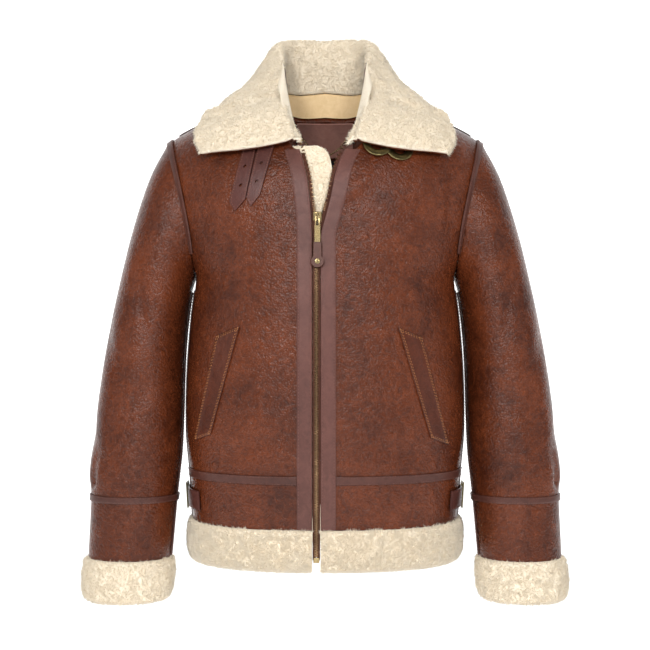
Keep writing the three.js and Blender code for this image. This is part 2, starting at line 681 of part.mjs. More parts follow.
// Inside of the neck: the band from the neckline up to the collar
const bandSheet = (lift) =>
  [0, 1].map((up) =>
    collarWay.filter(([, at]) => at < 0.5).map(([name, at]) => {
      const seam = onBody(neckline(name, at), -1 - lift);
      return seam.add(vec(0, 0, mix(4.4, collarSize("band", at) + 0.6, up)));
    }),
  );
add("neck_band", "suede", between(bandSheet(0), bandSheet(4)));
const facingRow = (z) => steps(-44, 44, 10).map((x) => placeAt(x, z, true));
add("back_facing", "binding", bodyWall([-62, -50, -40, -30].map(facingRow), -hide - 1.3, 1.5));
const labelRow = (z) => steps(-36, 36, 6).map((x) => placeAt(x, z, true));
add("neck_label", "label", bodyWall([-104, -94, -84, -66].map(labelRow), -hide - 1.4, 1));

// Fleece guard behind the zip, seen in the opening's top
const guardRows = [
  { z: -610, edge: -7 },
  { z: -400, edge: -7 },
  { z: -186, edge: -6 },
  { z: -173, edge: -4.5 },
  { z: -158, edge: 0 },
  { z: -144, edge: 5.5 },
  { z: -113, edge: 9.7 },
  { z: -88, edge: 5.5 },
  { z: -78, edge: -3 },
  { z: -72, edge: -14 },
];
const guardHeights = [
  ...[-600, -500, -400, -300, -230, -200, -186, -173],
  ...[-158, -144, -128, -113, -98, -88, -80, -74],
];
const guardPlaces = guardHeights.map((z) => {
  const edge = smooth(guardRows, "z", "edge", z);
  const far = smooth(openingRows, "z", "right", z) - 20;
  return [0, 0.15, 0.5, 0.85, 1].map((share) => placeAt(mix(far, edge, share), z));
});
add("wind_guard", "fleece", bodyWall(guardPlaces, -hide - 1.6, 8.4));

// A frame with its origin at middle: out leads away from the body and up lies in the frame's plane.
function frameAt(middle, out) {
  const up = vec(0, 0, 1).addScaledVector(out, -out.z).normalize();
  const right = up.clone().cross(out).normalize();
  return new THREE.Matrix4().makeBasis(right, up, out).setPosition(middle);
}
function extruded(outline, thick, holes = []) {
  const shape = new THREE.Shape(outline.map(([x, y]) => new THREE.Vector2(x, y)));
  shape.holes = holes.map((hole) => new THREE.Path(hole.map(([x, y]) => new THREE.Vector2(x, y))));
  return new THREE.ExtrudeGeometry(shape, { depth: thick, bevelEnabled: false, curveSegments: 1 });
}
const circle = (x, y, radius, count) =>
  Array.from({ length: count }, (_, i) => {
    const angle = (2 * Math.PI * (i + 0.5)) / count;
    return [x + radius * Math.cos(angle), y + radius * Math.sin(angle)];
  });
const block = (x0, x1, y0, y1, z0, z1) =>
  new THREE.BoxGeometry(x1 - x0, y1 - y0, z1 - z0).translate((x0 + x1) / 2, (y0 + y1) / 2, (z0 + z1) / 2);

// Rings under the left front of the collar, each in a leather loop
for (const ring of collarRings) {
  const place = placeAt(ring.x, ring.z);
  const frame = frameAt(onBody(place, ring.lift - ringThick / 2), bodyNormal(...place));
  const hoop = extruded(circle(0, 0, ringOuter, 28), ringThick, [circle(0, 0, ringInner, 22)]);
  add(`collar_ring_${ring.name}`, "brass", hoop.applyMatrix4(frame));
  const loop = joined(
    block(-5, 5, 5.2, 14, ringThick + 0.4, ringThick + 1.4),
    block(-5, 5, 5.2, 14, -1.3, -0.4),
    block(-5, 5, 5.2, 6.4, -1, ringThick + 1),
  );
  add(`ring_loop_${ring.name}`, "binding", loop.applyMatrix4(frame));
}

// Straps that hang from under the right front of the collar, with two holes each
for (const strap of collarStraps) {
  const rows = [0, 0.2, 0.4, 0.6, strapPoint, 0.91, 0.955, 1].map((share) => {
    const x = mix(strap.topX, strap.endX, share);
    const z = mix(strap.topZ, strap.endZ, share);
    const point = Math.max(0, share - strapPoint) / (1 - strapPoint);
    const wide = mix(strap.topWide, strap.endWide, Math.min(1, share / strapPoint)) * (1 - 0.94 * point);
    return [-0.5, -0.25, 0, 0.25, 0.5].map((across) => placeAt(x + across * wide, z + across * wide * 0.15));
  });
  const holes = strapHoles.map((share) => {
    const place = placeAt(mix(strap.topX, strap.endX, share), mix(strap.topZ, strap.endZ, share));
    const rod = new THREE.CylinderGeometry(2.1, 2.1, 12, 12).rotateX(Math.PI / 2);
    return rod.applyMatrix4(frameAt(onBody(place, 0), bodyNormal(...place)));
  });
  add(`collar_strap_${strap.name}`, "skin", cut(bodyWall(rows, layGap + strapThick, strapThick), ...holes));
}

// Pocket welts
for (const welt of weltRows) {
  const rows = steps(0, 1, 8).map((share) => {
    const wide = mix(welt.topWide, welt.endWide, share);
    const x = mix(welt.topX, welt.endX, share);
    const z = mix(welt.topZ, welt.endZ, share);
    const slope = -0.43 * sideOf[welt.name];
    return [-0.5, -0.25, 0, 0.25, 0.5].map((across) =>
      placeAt(x + across * wide, z + slope * across * wide),
    );
  });
  add(`pocket_welt_${welt.name}`, "binding", bodyWall(rows, layGap + weltThick, weltThick));
}

// Waist adjusters: a strap round each side of the band, through a buckle at the side
const sideLevels = [-597, -583, -569].map(levelOf);
for (const name of ["right", "left"]) {
  const side = sideOf[name];
  const turned = (turn) => mirrored(side, turn);
  const strip = (levels, turns, lift, thick) =>
    bodyWall(levels.map((level) => turns.map((turn) => [turned(turn), level])), lift, thick);
  add(`side_strap_${name}`, "skin", strip(sideLevels, steps(62, 128, 14), layGap + bindThick + 3, 2.4));
  const near = turnFromEdge(sideLevels[1], 13, false);
  const far = turnFromEdge(sideLevels[1], 13, true);
  const outer = strip([-602, -583, -564].map(levelOf), [near, 89, 91, far], 8, 2.2);
  const inner = strip([-598.4, -583, -567.6].map(levelOf), [near + 1.5, 89.6, 90.4, far - 1.5], 11, 8);
  add(`side_buckle_${name}`, "brass", cut(outer, inner));
}

// Zip slider: two plates joined by a post between the tapes, and the bridge that holds the pull
const sliderPlace = placeAt(slider.x, slider.z);
const sliderMiddle = onBody(sliderPlace, 0);
const { wide, tall, plate } = slider;
const bridgeTop = 0.4 + plate + bridge.gap + bridge.bar;
const bridgeBlock = (back, low, high) =>
  block(-bridge.wide / 2, bridge.wide / 2, -bridgeTop, back, low, high);
const sliderSolid = joined(
  block(-wide / 2, wide / 2, -0.4 - plate, -0.4, -tall / 2, tall / 2),
  block(-wide / 2, wide / 2, 3.2, 4.8, -tall / 2, tall / 2),
  block(-1, 1, -1, 4, 2, 5),
  bridgeBlock(-1, bridge.top - bridge.bar, bridge.top),
  bridgeBlock(-1, bridge.bottom - bridge.bar, bridge.bottom),
  bridgeBlock(bridge.bar - bridgeTop, bridge.bottom - 1, bridge.top - 0.5),
);
add("zip_slider", "brass", sliderSolid.translate(sliderMiddle.x, sliderMiddle.y, sliderMiddle.z));

// The pull hangs from its bar's middle, at its own origin, and swings out and up about that bar.
const pullHinge = sliderMiddle
  .clone()
  .add(vec(0, -(0.4 + plate + bridge.gap / 2), bridge.bottom + pull.barRadius + seamGap));
const hung = (geometry) =>
  geometry.rotateX(rad(-pullTilt)).translate(pullHinge.x, pullHinge.y, pullHinge.z);
const half = pull.plateWide / 2;
add("zip_puller", "brass", hung(joined(
  new THREE.CylinderGeometry(pull.barRadius, pull.barRadius, 2 * pull.eyeWide, 12).rotateZ(
    Math.PI / 2,
  ),
  block(-pull.eyeWide, -1.7, -0.9, 0.9, -13.5, 0.2),
  block(1.7, pull.eyeWide, -0.9, 0.9, -13.5, 0.2),
  block(-half, half, -0.9, 0.9, pull.plateEnd, -13),
)));
const pullOutline = [
  [-pull.leatherWide / 2, pull.leatherTop],
  [-pull.leatherWide / 2, pullEnd.middle + 6.9],
  ...steps(143, 397, 16).map((angle) => [
    pullEnd.radius * Math.cos(rad(angle)),
    pullEnd.middle + pullEnd.radius * Math.sin(rad(angle)),
  ]),
  [pull.leatherWide / 2, pullEnd.middle + 6.9],
  [pull.leatherWide / 2, pull.leatherTop],
];
const leather = extruded(pullOutline, pullEnd.thick)
  .translate(0, 0, -pullEnd.thick / 2)
  .rotateX(Math.PI / 2);
add("pull_leather", "binding", hung(cut(
  leather,
  block(-half - 0.35, half + 0.35, -1.25, 1.25, pull.plateEnd - 0.4, 0),
  new THREE.CylinderGeometry(1.5, 1.5, 12, 12).translate(0, 0, pullEnd.middle),
)));
const head = pullEnd.thick / 2 + 0.3;
const rivetOutline = [
  [0, -head - 0.8],
  [pullEnd.rivetRadius, -head - 0.6],
  [pullEnd.rivetRadius, -head],
  [1.1, -head],
  [1.1, head],
  [pullEnd.rivetRadius, head],
  [pullEnd.rivetRadius * 0.8, head + 0.8],
  [0, head + 1.1],
].map(([x, y]) => new THREE.Vector2(x, y));
const rivet = new THREE.LatheGeometry(rivetOutline, 16).rotateZ(Math.PI);
add("pull_rivet", "brass", hung(rivet.translate(0, 0, pullEnd.middle)));

const stopAt = onBody(placeAt(zipX, -657), 0);
const stop = block(-4.3, 4.3, -1.6, 0.6, -3.6, 3.6);
add("zip_stop", "brass", stop.translate(stopAt.x, stopAt.y, stopAt.z));

// Hanging chain across the inside of the back neck
const chain = { half: 41, z: -33, sag: 33, radius: 1.7 };
const chainEnd = onBody(placeAt(chain.half, chain.z, true), -hide - 5.4);
for (const name of ["right", "left"]) {
  const place = placeAt(sideOf[name] * chain.half, chain.z, true);
  const plateAt = frameAt(onBody(place, -hide - 3.4 - 1.6), bodyNormal(...place));
  const disc = new THREE.CylinderGeometry(5, 5, 1.6, 20).rotateX(Math.PI / 2);
  add(`chain_plate_${name}`, "brass", disc.applyMatrix4(plateAt));
}
const chainY = chainEnd.y - 3.9;
const chainLoops = steps(-1, 1, 24).map((share) => {
  const middle = vec(share * (chain.half - 2), chainY, chain.z - chain.sag * (1 - share * share));
  const slope = Math.atan2(2 * chain.sag * share, chain.half - 2);
  return steps(0, 300, 5).map((turn) =>
    middle.clone().add(vec(
      -Math.sin(slope) * chain.radius * Math.cos(rad(turn)),
      chain.radius * Math.sin(rad(turn)),
      Math.cos(slope) * chain.radius * Math.cos(rad(turn)),
    )),
  );
});
add("hanging_chain", "brass", through(chainLoops));

export default jacket;
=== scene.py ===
# Sheepskin flying jacket, hollow and filled out as it is when worn.
# Lengths are in millimetres in the formulas, and in metres in the finished pieces.
import json
import math

import bmesh
import bpy
import numpy as np
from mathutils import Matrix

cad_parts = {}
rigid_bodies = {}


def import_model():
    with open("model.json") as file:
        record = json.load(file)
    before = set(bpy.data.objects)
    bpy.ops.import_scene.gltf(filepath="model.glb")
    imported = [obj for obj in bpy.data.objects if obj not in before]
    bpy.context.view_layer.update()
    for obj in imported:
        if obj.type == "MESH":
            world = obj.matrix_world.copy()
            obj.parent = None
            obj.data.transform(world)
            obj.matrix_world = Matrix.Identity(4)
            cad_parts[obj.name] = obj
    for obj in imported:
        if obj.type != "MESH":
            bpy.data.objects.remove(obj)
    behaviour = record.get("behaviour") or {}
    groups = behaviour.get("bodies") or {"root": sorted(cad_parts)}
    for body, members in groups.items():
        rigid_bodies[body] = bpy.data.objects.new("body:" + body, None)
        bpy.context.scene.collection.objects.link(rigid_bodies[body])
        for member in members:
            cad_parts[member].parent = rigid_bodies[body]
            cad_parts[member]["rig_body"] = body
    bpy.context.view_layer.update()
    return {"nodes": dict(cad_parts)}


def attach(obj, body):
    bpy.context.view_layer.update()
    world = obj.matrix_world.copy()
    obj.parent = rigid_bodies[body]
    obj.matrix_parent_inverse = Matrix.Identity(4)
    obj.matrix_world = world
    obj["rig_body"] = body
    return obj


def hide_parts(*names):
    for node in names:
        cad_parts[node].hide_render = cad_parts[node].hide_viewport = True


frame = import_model()
random = np.random.default_rng(17)
print("loaded the frame")

# Sizes shared with the solids
hide = 7
layGap = 0.8
bindThick = 1.3
squareness = 2.3
waistZ, bandEndZ, hemZ, underarmZ, armholeMidZ = -546, -616, -672, -258, -159.5
armholeHalf = armholeMidZ - underarmZ
cuffEndZ, cuffHemZ = -673, -733
armholeDeep, armholeBow = 72, 7
shoulderX = 235
neckShare = 0.3
placketWide = 21
collarThick = 8
wristAt, cuffEndAt = 8, 9
sides = {"right": -1, "left": 1}


def table(keys, rows):
    return {key: np.array(column, float) for key, column in zip(keys.split(), zip(*rows))}


bodyRows = table("z half front back", [
    (-680, 196, 140, 124), (-616, 197, 142, 126), (-546, 201, 147, 127), (-487, 206, 150, 128),
    (-400, 205, 152, 130), (-320, 199, 152, 133), (-258, 192, 151, 135), (-160, 192, 148, 134),
])
shoulderRows = table("x z", [(0, 8), (80, 0), (130, -13), (189, -34), (220, -50), (235, -61)])
neckRows = table("share front back", [
    (0, 0.47, 0.893), (0.15, 0.47, 0.9), (0.23, 0.6, 0.93), (0.275, 0.79, 0.965), (0.3, 1, 1),
])
openingRows = table("z right left", [
    (-700, -18, -6), (-420, -18, -6), (-232, -18, -6), (-205, -18, -5.8), (-175, -19.4, 2), (-150, -22, 8.3),
    (-124, -25, 13.3), (-99, -31.5, 21), (-80, -37, 31), (-60, -46, 44),
])
sleeveRows = table("at outX outZ inX inZ deep mid", [
    (0, 235, -61, 192, -258, 72, 0), (1, 262, -112, 200, -284, 73, 0), (2, 287, -188, 205.5, -322, 71, 0),
    (3, 306, -265, 209.5, -366, 69, -1), (4, 324, -350, 211.5, -415, 67, -3), (5, 337, -435, 212.5, -465, 64, -6),
    (6, 346, -510, 214.5, -517, 61, -10), (7, 350, -552, 218, -552, 58, -12), (8, 347.5, -584, 221.5, -584, 56, -13),
    (9, 351.5, -673, 229.5, -673, 54, -14),
])
collarRows = table("at band crestX crestY crestZ fallX fallY fallZ edgeShare edgeArch roll", [
    (0, 38, 0, 84, 111, 0, 112, 36, 0, 137, 13), (0.25, 36, 48, 72, 109, 72, 106, 36, 0.37, 136, 13),
    (0.45, 30, 69, 38, 95, 111, 66, 36, 0.66, 132, 13), (0.6, 24, 67, -5, 58, 125, 12, 21, 0.715, 114, 13),
    (0.75, 16, 61, -50, 14, 132, -42, 1, 0.7, 82, 12), (0.9, 8, 51, -100, -39, 126, -99, -50, 0.79, 46, 10),
    (1, 3, 42, -133, -71, 106, -136, -83, 0.765, 31, 8),
])
guardRows = table("z edge", [
    (-610, -7), (-400, -7), (-186, -6), (-173, -4.5), (-158, 0), (-144, 5.5), (-113, 9.7), (-88, 5.5), (-78, -3),
    (-72, -14),
])


# A column of a table between its rows, on a smooth curve through them, and straight on past its ends.
def smooth(rows, key, column, at):
    keys, values = rows[key], rows[column]
    at = np.asarray(at, float)
    slope = np.empty(len(keys))
    slope[1:-1] = (values[2:] - values[:-2]) / (keys[2:] - keys[:-2])
    slope[0] = (values[1] - values[0]) / (keys[1] - keys[0])
    slope[-1] = (values[-1] - values[-2]) / (keys[-1] - keys[-2])
    i = np.clip(np.searchsorted(keys, at, side="left") - 1, 0, len(keys) - 2)
    span = keys[i + 1] - keys[i]
    t = (at - keys[i]) / span
    curve = (
        values[i] * (1 + 2 * t) * (1 - t) ** 2 + slope[i] * span * t * (1 - t) ** 2
        + values[i + 1] * t * t * (3 - 2 * t) + slope[i + 1] * span * t * t * (t - 1)
    )
    low = values[i] + slope[i] * (at - keys[i])
    high = values[i + 1] + slope[i + 1] * (at - keys[i + 1])
    return np.where(t < 0, low, np.where(t > 1, high, curve))


def mix(a, b, t):
    return a + (b - a) * t


def unit(v):
    return v / np.maximum(np.linalg.norm(v, axis=-1, keepdims=True), 1e-9)


def stack(x, y, z):
    return np.stack(np.broadcast_arrays(x, y, z), axis=-1).astype(float)


def smoothStep(x, low, high):
    t = np.clip((x - low) / (high - low), 0, 1)
    return t * t * (3 - 2 * t)


def levelOf(z):
    return 1 + (np.asarray(z, float) - armholeMidZ) / armholeHalf


def armholeX(rise):
    return 213.5 + 21.5 * rise - armholeBow * (1 - rise * rise)


def riseOf(level):
    return np.where(level <= 1, level - 1, np.sin(np.radians(90 * (level - 1))))


# The body: turn goes round it, 0 at the front and 90 at the wearer's left; level is 0 at the underarm and 2 on the
# shoulder. Sections are superellipses. Over the underarm they shrink towards the armhole's oval, and over half the
# armhole's height they arch up to the shoulder line.
def body(turn, level):
    turn, level = np.broadcast_arrays(np.asarray(turn, float), np.asarray(level, float))
    across, along = np.sin(np.radians(turn)), np.cos(np.radians(turn))
    share = np.abs(across) ** (2 / squareness)
    side = np.where(across < 0, -1, 1)
    face = np.where(along < 0, 1, -1)
    rise = riseOf(level)
    low = np.minimum(rise, 0)
    z = armholeMidZ + armholeHalf * np.where(level <= 0, level - 1, low)
    depth = np.where(along < 0, smooth(bodyRows, "z", "back", z), smooth(bodyRows, "z", "front", z))
    half = smooth(bodyRows, "z", "half", z)
    below = stack(side * share * half, face * depth * np.abs(along) ** (2 / squareness), z)
    fold = np.where(level <= 1, 1, np.cos(np.radians(90 * (level - 1))))
    inside = np.maximum(low, -1)
    reach = 0.93 + 0.07 * inside**2
    edge = armholeDeep * np.sqrt(1 - inside**2)
    rounded = lambda q: np.maximum(0, 1 - q**squareness) ** (1 / squareness)
    swell = (rounded(share * reach) - rounded(reach)) / (1 - rounded(reach))
    top = smooth(shoulderRows, "x", "z", shoulderX * share) - armholeMidZ
    above = stack(
        side * share * armholeX(np.maximum(rise, -1)),
        face * (edge + (depth - edge) * swell) * fold,
        np.where(level <= 1, z, armholeMidZ + top * rise),
    )
    return np.where((level <= 0)[..., None], below, above)


armholeUp = unit(np.array([armholeX(1) - armholeX(-1), 0, 2 * armholeHalf]))


# Outwards from the body; at an armhole's edge it lies in the armhole's plane.
def bodyNormal(turn, level):
    turn, level = np.broadcast_arrays(np.asarray(turn, float), np.asarray(level, float))
    round_ = body(turn + 0.05, level) - body(turn - 0.05, level)
    up = body(turn, level + 0.002) - body(turn, level - 0.002)
    normal = unit(np.cross(round_, up))
    across = np.sin(np.radians(turn))
    rise = riseOf(level)
    front = np.where(np.cos(np.radians(turn)) < 0, 1, -1) * np.sqrt(np.maximum(0, 1 - np.clip(rise, -1, 1) ** 2))
    plane = unit(stack(np.sign(across) * armholeUp[0] * rise, front, armholeUp[2] * rise))
    atEdge = (level > -1e-6) & (np.abs(across) > 1 - 1e-9)
    return np.where(atEdge[..., None], plane, normal)


# Soft folds: from and to a point, how wide, and how deep in (-) or out (+). The sleeves' points are a turn and a
# place along the sleeve.
folds = {
    "front": [
        {"from": (98, -118), "to": (26, -172), "wide": 8, "deep": -3.2},
        {"from": (74, -112), "to": (32, -146), "wide": 7, "deep": 1.8},
        {"from": (178, -95), "to": (176, -190), "wide": 6, "deep": -2.6},
        {"from": (166, -95), "to": (165, -180), "wide": 6, "deep": 1.8},
        {"from": (-176, -110), "to": (-168, -190), "wide": 7, "deep": -1.8},
        {"from": (150, -250), "to": (92, -300), "wide": 13, "deep": -2.0},
        {"from": (-150, -250), "to": (-100, -310), "wide": 14, "deep": -1.8},
        {"from": (-60, -480), "to": (-150, -520), "wide": 12, "deep": -1.8},
        {"from": (60, -500), "to": (150, -515), "wide": 12, "deep": -1.8},
        {"from": (-46, -300), "to": (-50, -430), "wide": 11, "deep": -1.4},
    ],
    "back": [
        {"from": (150, -240), "to": (80, -330), "wide": 16, "deep": -2.2},
        {"from": (-150, -240), "to": (-80, -330), "wide": 16, "deep": -2.2},
        {"from": (-60, -480), "to": (70, -500), "wide": 14, "deep": -1.8},
    ],
    "sleeve": [
        {"from": (35, 2.2), "to": (-5, 3.4), "wide": 9, "deep": -3.0},
        {"from": (75, 3.9), "to": (20, 4.6), "wide": 9, "deep": -2.4},
        {"from": (-20, 4.4), "to": (30, 5.6), "wide": 9, "deep": -2.2},
        {"from": (100, 5.4), "to": (40, 6.3), "wide": 10, "deep": -2.2},
        {"from": (200, 3.0), "to": (150, 4.2), "wide": 12, "deep": -2.8},
        {"from": (190, 5.0), "to": (240, 6.0), "wide": 12, "deep": -2.4},
    ],
    "tuck": {"turn": 62, "wide": 9, "deep": 7, "start": 6},
}


# Depth of the soft folds at a point: each is a straight line with a bell across it that fades at both ends.
def foldDepth(lines, x, z):
    depth = np.zeros(np.broadcast(x, z).shape)
    for fold in lines:
        ax, az = fold["from"]
        bx, bz = fold["to"]
        scale = fold.get("scale", 1)
        length = math.hypot(bx - ax, (bz - az) * scale)
        ux, uz = (bx - ax) / length, (bz - az) * scale / length
        dx, dz = x - ax, (z - az) * scale
        along = (dx * ux + dz * uz) / length
        off = dx * uz - dz * ux
        fade = smoothStep(along, -0.25, 0.25) * (1 - smoothStep(along, 0.75, 1.25))
        depth = depth + fold["deep"] * fade * np.exp(-((off / fold["wide"]) ** 2))
    return depth


def onBody(turn, level, lift=0.0):
    point = body(turn, level)
    front = np.cos(np.radians(turn)) >= 0
    x, z = point[..., 0], point[..., 2]
    depth = np.where(front, foldDepth(folds["front"], x, z), foldDepth(folds["back"], x, z))
    edge = smoothStep(np.abs(np.cos(np.radians(turn))), 0.05, 0.3)
    return point + bodyNormal(turn, level) * (lift + depth * edge)[..., None]


# Turn and level of a point seen from the front, or through the body on its back.
def placeAt(x, z, back=False):
    x, z = np.broadcast_arrays(np.asarray(x, float), np.asarray(z, float))
    level = levelOf(z)
    low = np.where(level <= 0, smooth(bodyRows, "z", "half", z), armholeX(np.clip(level - 1, -1, 0)))
    half = low.copy()
    share = np.abs(x) / half
    rise = np.zeros(x.shape)
    for _ in range(12):
        top = smooth(shoulderRows, "x", "z", shoulderX * share)
        rise = np.minimum(0.9999, (z - armholeMidZ) / (top - armholeMidZ))
        share = np.minimum(1, np.abs(x) / armholeX(np.maximum(rise, 0)))
    high = level > 1
    share = np.where(high, share, np.minimum(1, np.abs(x) / low))
    level = np.where(high, 1 + np.degrees(np.arcsin(np.clip(rise, 0, 1))) / 90, level)
    turn = np.sign(x) * np.degrees(np.arcsin(np.minimum(1, share) ** (squareness / 2)))
    return (180 - turn if back else turn), level


def shareOf(turn):
    return np.abs(np.sin(np.radians(turn))) ** (2 / squareness)


def turnOf(share):
    return np.degrees(np.arcsin(np.asarray(share, float) ** (squareness / 2)))


cornerTurn = float(turnOf(neckShare))


def neckLevel(share, column):
    high = np.clip(smooth(neckRows, "share", column, share), 0, 1)
    return np.where(share >= neckShare - 1e-4, 2, 1 + np.degrees(np.arcsin(high)) / 90)


def edgeTurn(name, level, inset=0.0):
    level = np.asarray(level, float)
    z = armholeMidZ + np.where(level <= 1, armholeHalf, 6 - armholeMidZ) * riseOf(level)
    return placeAt(smooth(openingRows, "z", name, z) + inset, z)[0]


# The sleeve: turn goes round it, 0 at the front, 90 on the outer side and 270 at the underarm. Its sections are ovals
# from the armhole's down to the cuff, set in sleeveRows.
def arm(name, turn, at):
    turn, at = np.broadcast_arrays(np.asarray(turn, float), np.asarray(at, float))
    rise = np.sin(np.radians(turn))
    fade = np.maximum(0, 1 - at)
    size = lambda column: smooth(sleeveRows, "at", column, at)
    x = mix(size("inX"), size("outX"), (1 + rise) / 2) - armholeBow * (1 - rise**2) * fade**2 + 0.9 * fade
    z = mix(size("inZ"), size("outZ"), (1 + rise) / 2) - 0.225 * fade
    return stack(sides[name] * x, size("mid") - size("deep") * np.cos(np.radians(turn)), z)


def onArm(name, turn, at, lift=0.0):
    turn, at = np.broadcast_arrays(np.asarray(turn, float), np.asarray(at, float))
    round_ = arm(name, turn + 1, at) - arm(name, turn - 1, at)
    along = arm(name, turn, at + 0.01) - arm(name, turn, at - 0.01)
    normal = unit(np.cross(round_, along)) * (-sides[name])
    rise = np.sin(np.radians(turn))
    plane = unit(stack(sides[name] * armholeUp[0] * rise, -np.cos(np.radians(turn)), armholeUp[2] * rise))
    start = 1 - smoothStep(at, 0, 0.22)
    normal = unit(normal * (1 - start)[..., None] + plane * start[..., None])
    tuck = folds["tuck"]
    fade = np.clip((at - tuck["start"]) / 1.2, 0, 1) * np.clip((7.8 - at) * 2.5, 0, 1)
    fold = -tuck["deep"] * fade * np.exp(-(((turn - tuck["turn"] - 6 * (at - 7)) / tuck["wide"]) ** 2))
    wrapped = (turn + 90) % 360 - 90
    for one in folds["sleeve"]:
        fold = fold + foldDepth([dict(one, scale=30)], wrapped, at) * smoothStep(at, 0.5, 1.2) * (
            1 - smoothStep(at, 7.2, 7.8)
        )
    return arm(name, turn, at) + normal * (lift + fold)[..., None]


# Smooth random bumps between -1 and 1: random values on a cubic lattice, blended between its points.
lattice = random.uniform(-1, 1, (64, 64, 64))


def bumps(points, size, shift=0):
    at = points / size + shift
    cell = np.floor(at).astype(int)
    f = at - cell
    f = f * f * (3 - 2 * f)
    total = 0
    for dx in (0, 1):
        for dy in (0, 1):
            for dz in (0, 1):
                value = lattice[(cell[..., 0] + dx) % 64, (cell[..., 1] + dy) % 64, (cell[..., 2] + dz) % 64]
                weight = (
                    (f[..., 0] if dx else 1 - f[..., 0])
                    * (f[..., 1] if dy else 1 - f[..., 1])
                    * (f[..., 2] if dz else 1 - f[..., 2])
                )
                total = total + value * weight
    return total


nodeBody = {node: o["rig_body"] for node, o in frame["nodes"].items()}
materials = {}
outerGrids = {}


# A mesh object from points in millimetres and faces; facing outwards where it is closed.
def addMesh(name, points, quads, material, nodes=(), rides="jacket", uv=None, sharp=40, flip=None, tip=None):
    quads = np.asarray(quads)
    if flip is None:
        a, b, c = points[quads[:, 0]], points[quads[:, 1]], points[quads[:, 2]]
        volume = np.einsum("ij,ij->", a, np.cross(b, c))
        if quads.shape[1] == 4:
            volume += np.einsum("ij,ij->", a, np.cross(c, points[quads[:, 3]]))
        flip = volume < 0
    if flip:
        quads = quads[:, ::-1]
    if nodes:
        name += "_fine"
    mesh = bpy.data.meshes.new(name)
    count = quads.shape[1]
    mesh.vertices.add(len(points))
    mesh.vertices.foreach_set("co", (points / 1000).astype(np.float32).ravel())
    mesh.loops.add(quads.size)
    mesh.loops.foreach_set("vertex_index", quads.astype(np.int32).ravel())
    mesh.polygons.add(len(quads))
    mesh.polygons.foreach_set("loop_start", np.arange(0, quads.size, count, dtype=np.int32))
    mesh.polygons.foreach_set("loop_total", np.full(len(quads), count, np.int32))
    mesh.update(calc_edges=True)
    mesh.polygons.foreach_set("use_smooth", np.ones(len(quads), bool))
    if uv is not None:
        layer = mesh.uv_layers.new(name="UVMap")
        layer.data.foreach_set("uv", uv[quads.ravel()].astype(np.float32).ravel())
    if tip is not None:
        layer = mesh.attributes.new("tip", "FLOAT", "POINT")
        layer.data.foreach_set("value", tip.astype(np.float32))
    if sharp:
        mesh.set_sharp_from_angle(angle=math.radians(sharp))
    mesh.materials.append(materials[material])
    made = bpy.data.objects.new(name, mesh)
    bpy.context.scene.collection.objects.link(made)
    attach(made, rides)
    if nodes:
        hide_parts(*nodes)
    return made


# Faces of a closed shell between two grids of points, [row, column].
def shellFaces(rows, columns, wrap):
    ids = np.arange(2 * rows * columns).reshape(2, rows, columns)
    if wrap:
        ids = np.concatenate([ids, ids[:, :, :1]], axis=2)
    out, back = ids

    def patch(g):
        return np.stack([g[:-1, :-1], g[:-1, 1:], g[1:, 1:], g[1:, :-1]], -1).reshape(-1, 4)

    def band(a, b):
        return np.stack([a[:-1], b[:-1], b[1:], a[1:]], -1)

    faces = [patch(out), patch(back)[:, ::-1], band(out[0], back[0]), band(out[-1], back[-1])[:, ::-1]]
    if not wrap:
        faces += [band(out[:, 0], back[:, 0])[:, ::-1], band(out[:, -1], back[:, -1])]
    return np.concatenate(faces)


# Length along a grid's rows and columns in millimetres, for its texture and its cut.
def gridSizes(grid, wrap):
    closed = np.concatenate([grid, grid[:, :1]], axis=1) if wrap else grid
    stepsAcross = np.linalg.norm(np.diff(closed, axis=1), axis=-1)
    stepsDown = np.linalg.norm(np.diff(grid, axis=0), axis=-1)
    width = stepsAcross.sum(1).max()
    length = stepsDown.sum(0).max()
    a = closed[:-1, :-1]
    area = (
        np.linalg.norm(np.cross(closed[:-1, 1:] - a, closed[1:, :-1] - a), axis=-1)
        + np.linalg.norm(np.cross(closed[1:, 1:] - closed[:-1, 1:], closed[1:, 1:] - closed[1:, :-1]), axis=-1)
    ).sum() / 2
    u = np.concatenate([np.zeros((grid.shape[0], 1)), np.cumsum(stepsAcross[:, : grid.shape[1] - 1], 1)], 1)
    v = np.concatenate([np.zeros((1, grid.shape[1])), np.cumsum(stepsDown, 0)], 0)
    return width, length, area, u, v


# A sheet with an outer and an inner face. It stands for the node of its own name, or for another one.
def shell(name, outer, inner, material, held="hung", wrap=False, sharp=40, node=None):
    outerGrids[name] = outer
    rows, columns = outer.shape[:2]
    width, length, area, u, v = gridSizes(outer, wrap)
    uv = np.stack([np.concatenate([u.ravel()] * 2), np.concatenate([v.ravel()] * 2)], -1) / 1000
    points = np.concatenate([outer.reshape(-1, 3), inner.reshape(-1, 3)])
    nodes = [node or name]
    made = addMesh(name, points, shellFaces(rows, columns, wrap), material, nodes, nodeBody[nodes[0]], uv, sharp)
    return made


# Steps between 0 and 1 with an extra one close to each end, where the edge is rounded off.
def edged(count, near):
    return np.concatenate([[0, near], np.linspace(near, 1 - near, count)[1:-1], [1 - near, 1]])


# Lowers a strip's outer lift at its border to round the edge.
def roundedLift(rows, columns, lift, drop):
    lifts = np.full((rows, columns), float(lift))
    lifts[:, [0, -1]] -= drop
    lifts[[0, -1], :] -= drop
    return np.maximum(lifts, lift - drop)


print("shapes are set")


